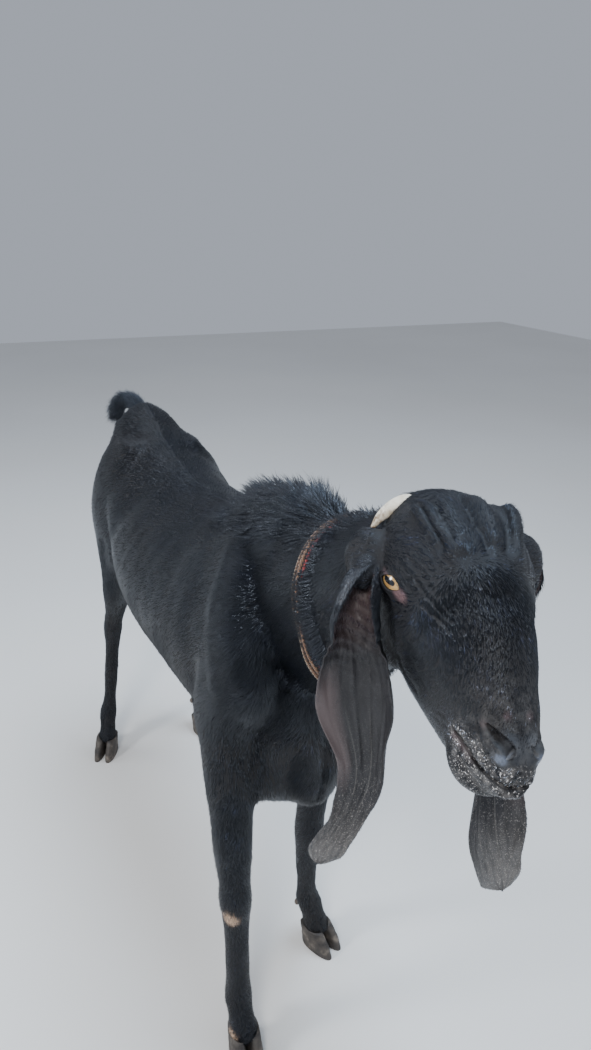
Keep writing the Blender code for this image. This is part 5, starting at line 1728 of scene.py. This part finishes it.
def make_dewclaws(name):
    """Two small blunt cones behind the fetlock, pointing down."""
    leg = LEGS[name]
    x, y, behind = (0.111, SHOULDER_Y - 0.043, 0.0225) if is_fore(name) else (0.105, HIP_Y + 0.070, 0.0205)
    inward, forward = carried(leg, DEWCLAW_HEIGHT)
    fetlock = (leg["side"] * (x - inward), y - forward, DEWCLAW_HEIGHT)
    claws = []
    for offset in (-DEWCLAW_OFFSET, DEWCLAW_OFFSET):
        rows = np.array((
            (offset * 0.8, behind - 0.0100, 0.003, 0.0050, 0.0050),
            (offset, behind - 0.0050, 0.0, 0.0058, 0.0054),
            (offset * 1.04, behind - 0.0025, -0.0050, 0.0048, 0.0044),
            (offset * 1.05, behind - 0.0018, -0.0095, 0.0024, 0.0022),
        ))
        rows[:, :3] = turned_out(rows[:, :3], name, 0.5) + fetlock + MODEL_SHIFT
        claws.append(loft_along_path(rows, sides=20, steps=8))
    return new_object(f"dewclaws_{name}", joined(claws))


def hoof_material(name, dark, middle, pale):
    """Dull keratin, clouded from dark to pale."""
    made, tree, shader = material(name)
    fill(tree, shader, {
        "Base Color": ramp(tree, noise(tree, 70.0, 5.0), (0.35, dark), (0.55, middle), (0.72, pale)),
        "Roughness": 0.62,
        "Normal": bump(tree, noise(tree, 500.0, 4.0), 0.3, 0.0008),
    })
    return made


# Collar


YARN_SIDES = 8
RING_POINTS = 240
RING_STEP = 0.3333
# A twisted strand, each as a share of its thickness: a ply's distance from the middle, its half
# thickness, and the length of one twist
PLY_REACH = 0.235
PLY_HALF = 0.275
TWIST_LENGTH = 2.6
# The strands: place along the neck, thickness, plies, dark and light colour
STRANDS = {
    "collar_strand_rear": (-0.0065, 0.0055, 3, (0.080, 0.036, 0.020), (0.21, 0.120, 0.070)),
    "collar_strand_front": (0.0025, 0.0055, 3, (0.090, 0.040, 0.022), (0.23, 0.130, 0.075)),
    "collar_cord_red": (0.0085, 0.0032, 2, (0.20, 0.012, 0.014), (0.42, 0.060, 0.055)),
    "collar_strand_pale": (-0.0125, 0.0030, 2, (0.16, 0.13, 0.085), (0.36, 0.31, 0.22)),
}
SLOTS = {"collar_cord_red": "cord_red", "collar_strand_pale": "strand_pale"}


def ring_round(surface, shift, clearance):
    """Points around the neck in one plane, each clear of the widest place nearby."""
    across = Vector((1.0, 0.0, 0.0))
    up = across.cross(COLLAR_NORMAL).normalized()
    point = COLLAR_POINT + COLLAR_NORMAL * shift
    directions = [across * math.cos(turn) + up * math.sin(turn) for turn in turns(RING_POINTS)]
    radii = [surface.ray_cast(point, direction)[3] for direction in directions]
    window = range(-6, 7)
    widest = np.max([np.roll(radii, k) for k in window], axis=0)
    radii = np.mean([np.roll(widest, k) for k in window], axis=0)
    return np.array(point) + np.array(directions) * (radii + clearance)[:, None]


def make_strand(name, surface):
    """Plies wound around each other along a ring: ply k circles the ring's line as it goes round."""
    shift, diameter, plies, _, _ = STRANDS[name]
    line = ring_round(surface, shift, 0.7 * COAT_BODY + diameter / 2)
    closed = np.vstack([line, line[:1]])
    at = np.arange(0, RING_POINTS, RING_STEP)
    line = np.stack([np.interp(at, np.arange(RING_POINTS + 1), axis) for axis in closed.T], 1)
    tangent = unit(np.roll(line, -1, axis=0) - np.roll(line, 1, axis=0))
    out = unit(np.cross(tangent, np.array(COLLAR_NORMAL)))
    normal = np.cross(out, tangent)
    length = np.linalg.norm(np.roll(line, -1, axis=0) - line, axis=1).sum()
    twists = round(length / (diameter * TWIST_LENGTH))
    phase = np.linspace(0, 2 * math.pi * twists, len(line), endpoint=False)[:, None]
    turn = (turns(YARN_SIDES)[None] + 2 * phase)[..., None]
    around = np.cos(turn) * out[:, None] + np.sin(turn) * normal[:, None]
    one_ply = closed_faces(len(line), YARN_SIDES)
    points, faces = [], []
    for ply in range(plies):
        wound = phase + 2 * math.pi * ply / plies
        centre = line + (np.cos(wound) * out + np.sin(wound) * normal) * diameter * PLY_REACH
        thick = diameter * PLY_HALF * (1 + 0.06 * np.sin(7 * phase + ply))
        points.append((centre[:, None] + thick[..., None] * around).reshape(-1, 3))
        faces.append(one_ply + ply * len(line) * YARN_SIDES)
    mesh = array_mesh(name, np.vstack(points) + MODEL_SHIFT, np.vstack(faces))
    return new_object(f"{name}_yarn", outward(mesh))


def yarn_material(name):
    """Dull fibre of a strand, clouded from its dark to its light colour."""
    _, _, _, dark, light = STRANDS[name]
    made, tree, shader = material(name)
    fill(tree, shader, {
        "Base Color": ramp(tree, noise(tree, 260.0, 5.0, 0.7), (0.35, dark), (0.70, light)),
        "Roughness": 0.8,
        "Sheen Weight": 0.3,
        "Normal": bump(tree, noise(tree, 1500.0, 3.0), 0.6, 0.0005),
    })
    return made


# Room, light and camera


FLOOR_HALF = 6.0
# Lights: name, place, target, size, power and colour
LIGHTS = (
    ("key", (-1.5, -1.9, 2.7), (0.0, -0.3, 0.7), 0.9, 60.0, (1.0, 0.98, 0.95)),
    ("top", (0.5, 0.1, 2.9), (0.0, -0.1, 0.6), 1.4, 75.0, (0.68, 0.83, 1.0)),
    ("fill", (2.0, -1.3, 1.3), (0.0, -0.2, 0.5), 1.6, 12.0, (0.92, 0.96, 1.0)),
    ("glint", (-1.52, 0.14, 1.19), (-0.06, -0.43, 0.86), 0.40, 18.0, (0.95, 0.97, 1.0)),
    ("rim", (-1.5, 1.9, 1.9), (0.0, 0.1, 0.6), 1.2, 12.0, (0.90, 0.95, 1.0)),
)
CAMERA_PLACE = (-0.395, -0.94, 1.13)
CAMERA_ANGLES = (28.5, -23.0, 2.1)
SENSOR = 36.0
FOCAL_SHARE = 740.0 / 1050.0


def make_room():
    """A pale level floor under a soft sky."""
    corners = np.array([(-1, -1, 0), (1, -1, 0), (1, 1, 0), (-1, 1, 0)]) * FLOOR_HALF
    floor = new_object("floor", array_mesh("floor", corners, np.array([[0, 1, 2, 3]])))
    made, tree, shader = material("floor")
    tone = ramp(tree, noise(tree, 0.8, 2.0), (0.3, (0.70, 0.69, 0.67)), (0.7, (0.74, 0.73, 0.71)))
    fill(tree, shader, {"Base Color": tone, "Roughness": 0.85})
    floor.data.materials.append(made)
    world = bpy.data.worlds.new("studio")
    world.use_nodes = True
    sky = {"Color": (0.80, 0.87, 1.0, 1.0), "Strength": 0.50}
    fill(world.node_tree, world.node_tree.nodes["Background"], sky)
    bpy.context.scene.world = world


def area_light(name, place, target, size, power, colour):
    """A round lamp that points from a place at a target."""
    light = bpy.data.lights.new(name, "AREA")
    light.shape = "DISK"
    light.size = size
    light.energy = power
    light.color = colour
    obj = new_object(name, light)
    way = Vector(target) - Vector(place)
    obj.matrix_world = Matrix.Translation(place) @ way.to_track_quat("-Z", "Y").to_matrix().to_4x4()


def make_camera():
    """A wide lens a step in front of the goat's right shoulder, looking down over its head."""
    heading, pitch, roll = (math.radians(value) for value in CAMERA_ANGLES)
    level = Vector((math.sin(heading), math.cos(heading), 0.0))
    forward = level * math.cos(pitch) + Vector((0.0, 0.0, math.sin(pitch)))
    right = Vector((math.cos(heading), -math.sin(heading), 0.0))
    up = right.cross(forward)
    turned_right = right * math.cos(roll) + up * math.sin(roll)
    turned_up = -right * math.sin(roll) + up * math.cos(roll)
    camera = bpy.data.cameras.new("camera")
    camera.sensor_width = SENSOR
    camera.lens = FOCAL_SHARE * SENSOR
    camera.clip_start = 0.02
    obj = new_object("camera", camera)
    turn = Matrix((turned_right, turned_up, -forward)).transposed().to_4x4()
    obj.matrix_world = Matrix.Translation(np.array(CAMERA_PLACE) + MODEL_SHIFT) @ turn
    bpy.context.scene.camera = obj


# Everything in its place


skin_mesh = make_skin()
neck_surface = surface_of(skin_mesh)
hair_material = coat_material()
short_coat(skin_mesh, hair_material)
long_hair(skin_mesh, hair_material)
hair_over_collar(skin_mesh, hair_material)
tail_tuft(hair_material)
set_attribute(skin_mesh, "marks", marks(points_of(skin_mesh)))
set_attribute(skin_mesh, "bare", bare_nose(points_of(skin_mesh)))
skin_mesh.transform(Matrix.Translation(MODEL_SHIFT))
skin_piece = new_object("goat_skin", skin_mesh)
finish(skin_piece, skin_material(), "coat", "torso", "neck", "head", "tail", *LEGS)

amber = eye_material()
cream = horn_material()
for eye_side, side_name in ((-1, "right"), (1, "left")):
    finish(make_eye(eye_side, side_name), amber, "eye", f"eye_{side_name}")
    finish(make_horn(eye_side, side_name), cream, "horn", f"horn_{side_name}")
ear_finish = ear_material()
for ear_name in EARS:
    finish(make_ear(ear_name), ear_finish, "ear_skin", ear_name)
    ear_hair(ear_name, hair_material)
keratin = hoof_material("hoof", (0.020, 0.017, 0.016), (0.055, 0.046, 0.039), (0.16, 0.135, 0.110))
dull_keratin = hoof_material("dewclaw", (0.040, 0.032, 0.028), (0.10, 0.078, 0.062), (0.18, 0.14, 0.11))
for leg_name in LEGS:
    finish(make_dewclaws(leg_name), dull_keratin, "hoof")
    for claw_label, claw_offset in (("outer", CLAW_OFFSET), ("inner", -CLAW_OFFSET)):
        claw = make_claw(leg_name, claw_label, claw_offset)
        finish(claw, keratin, "hoof", f"hoof_{leg_name}_{claw_label}")
for strand_name in STRANDS:
    strand = make_strand(strand_name, neck_surface)
    finish(strand, yarn_material(strand_name), SLOTS.get(strand_name, "rope_tan"), strand_name)

make_room()
for light_values in LIGHTS:
    area_light(*light_values)
make_camera()
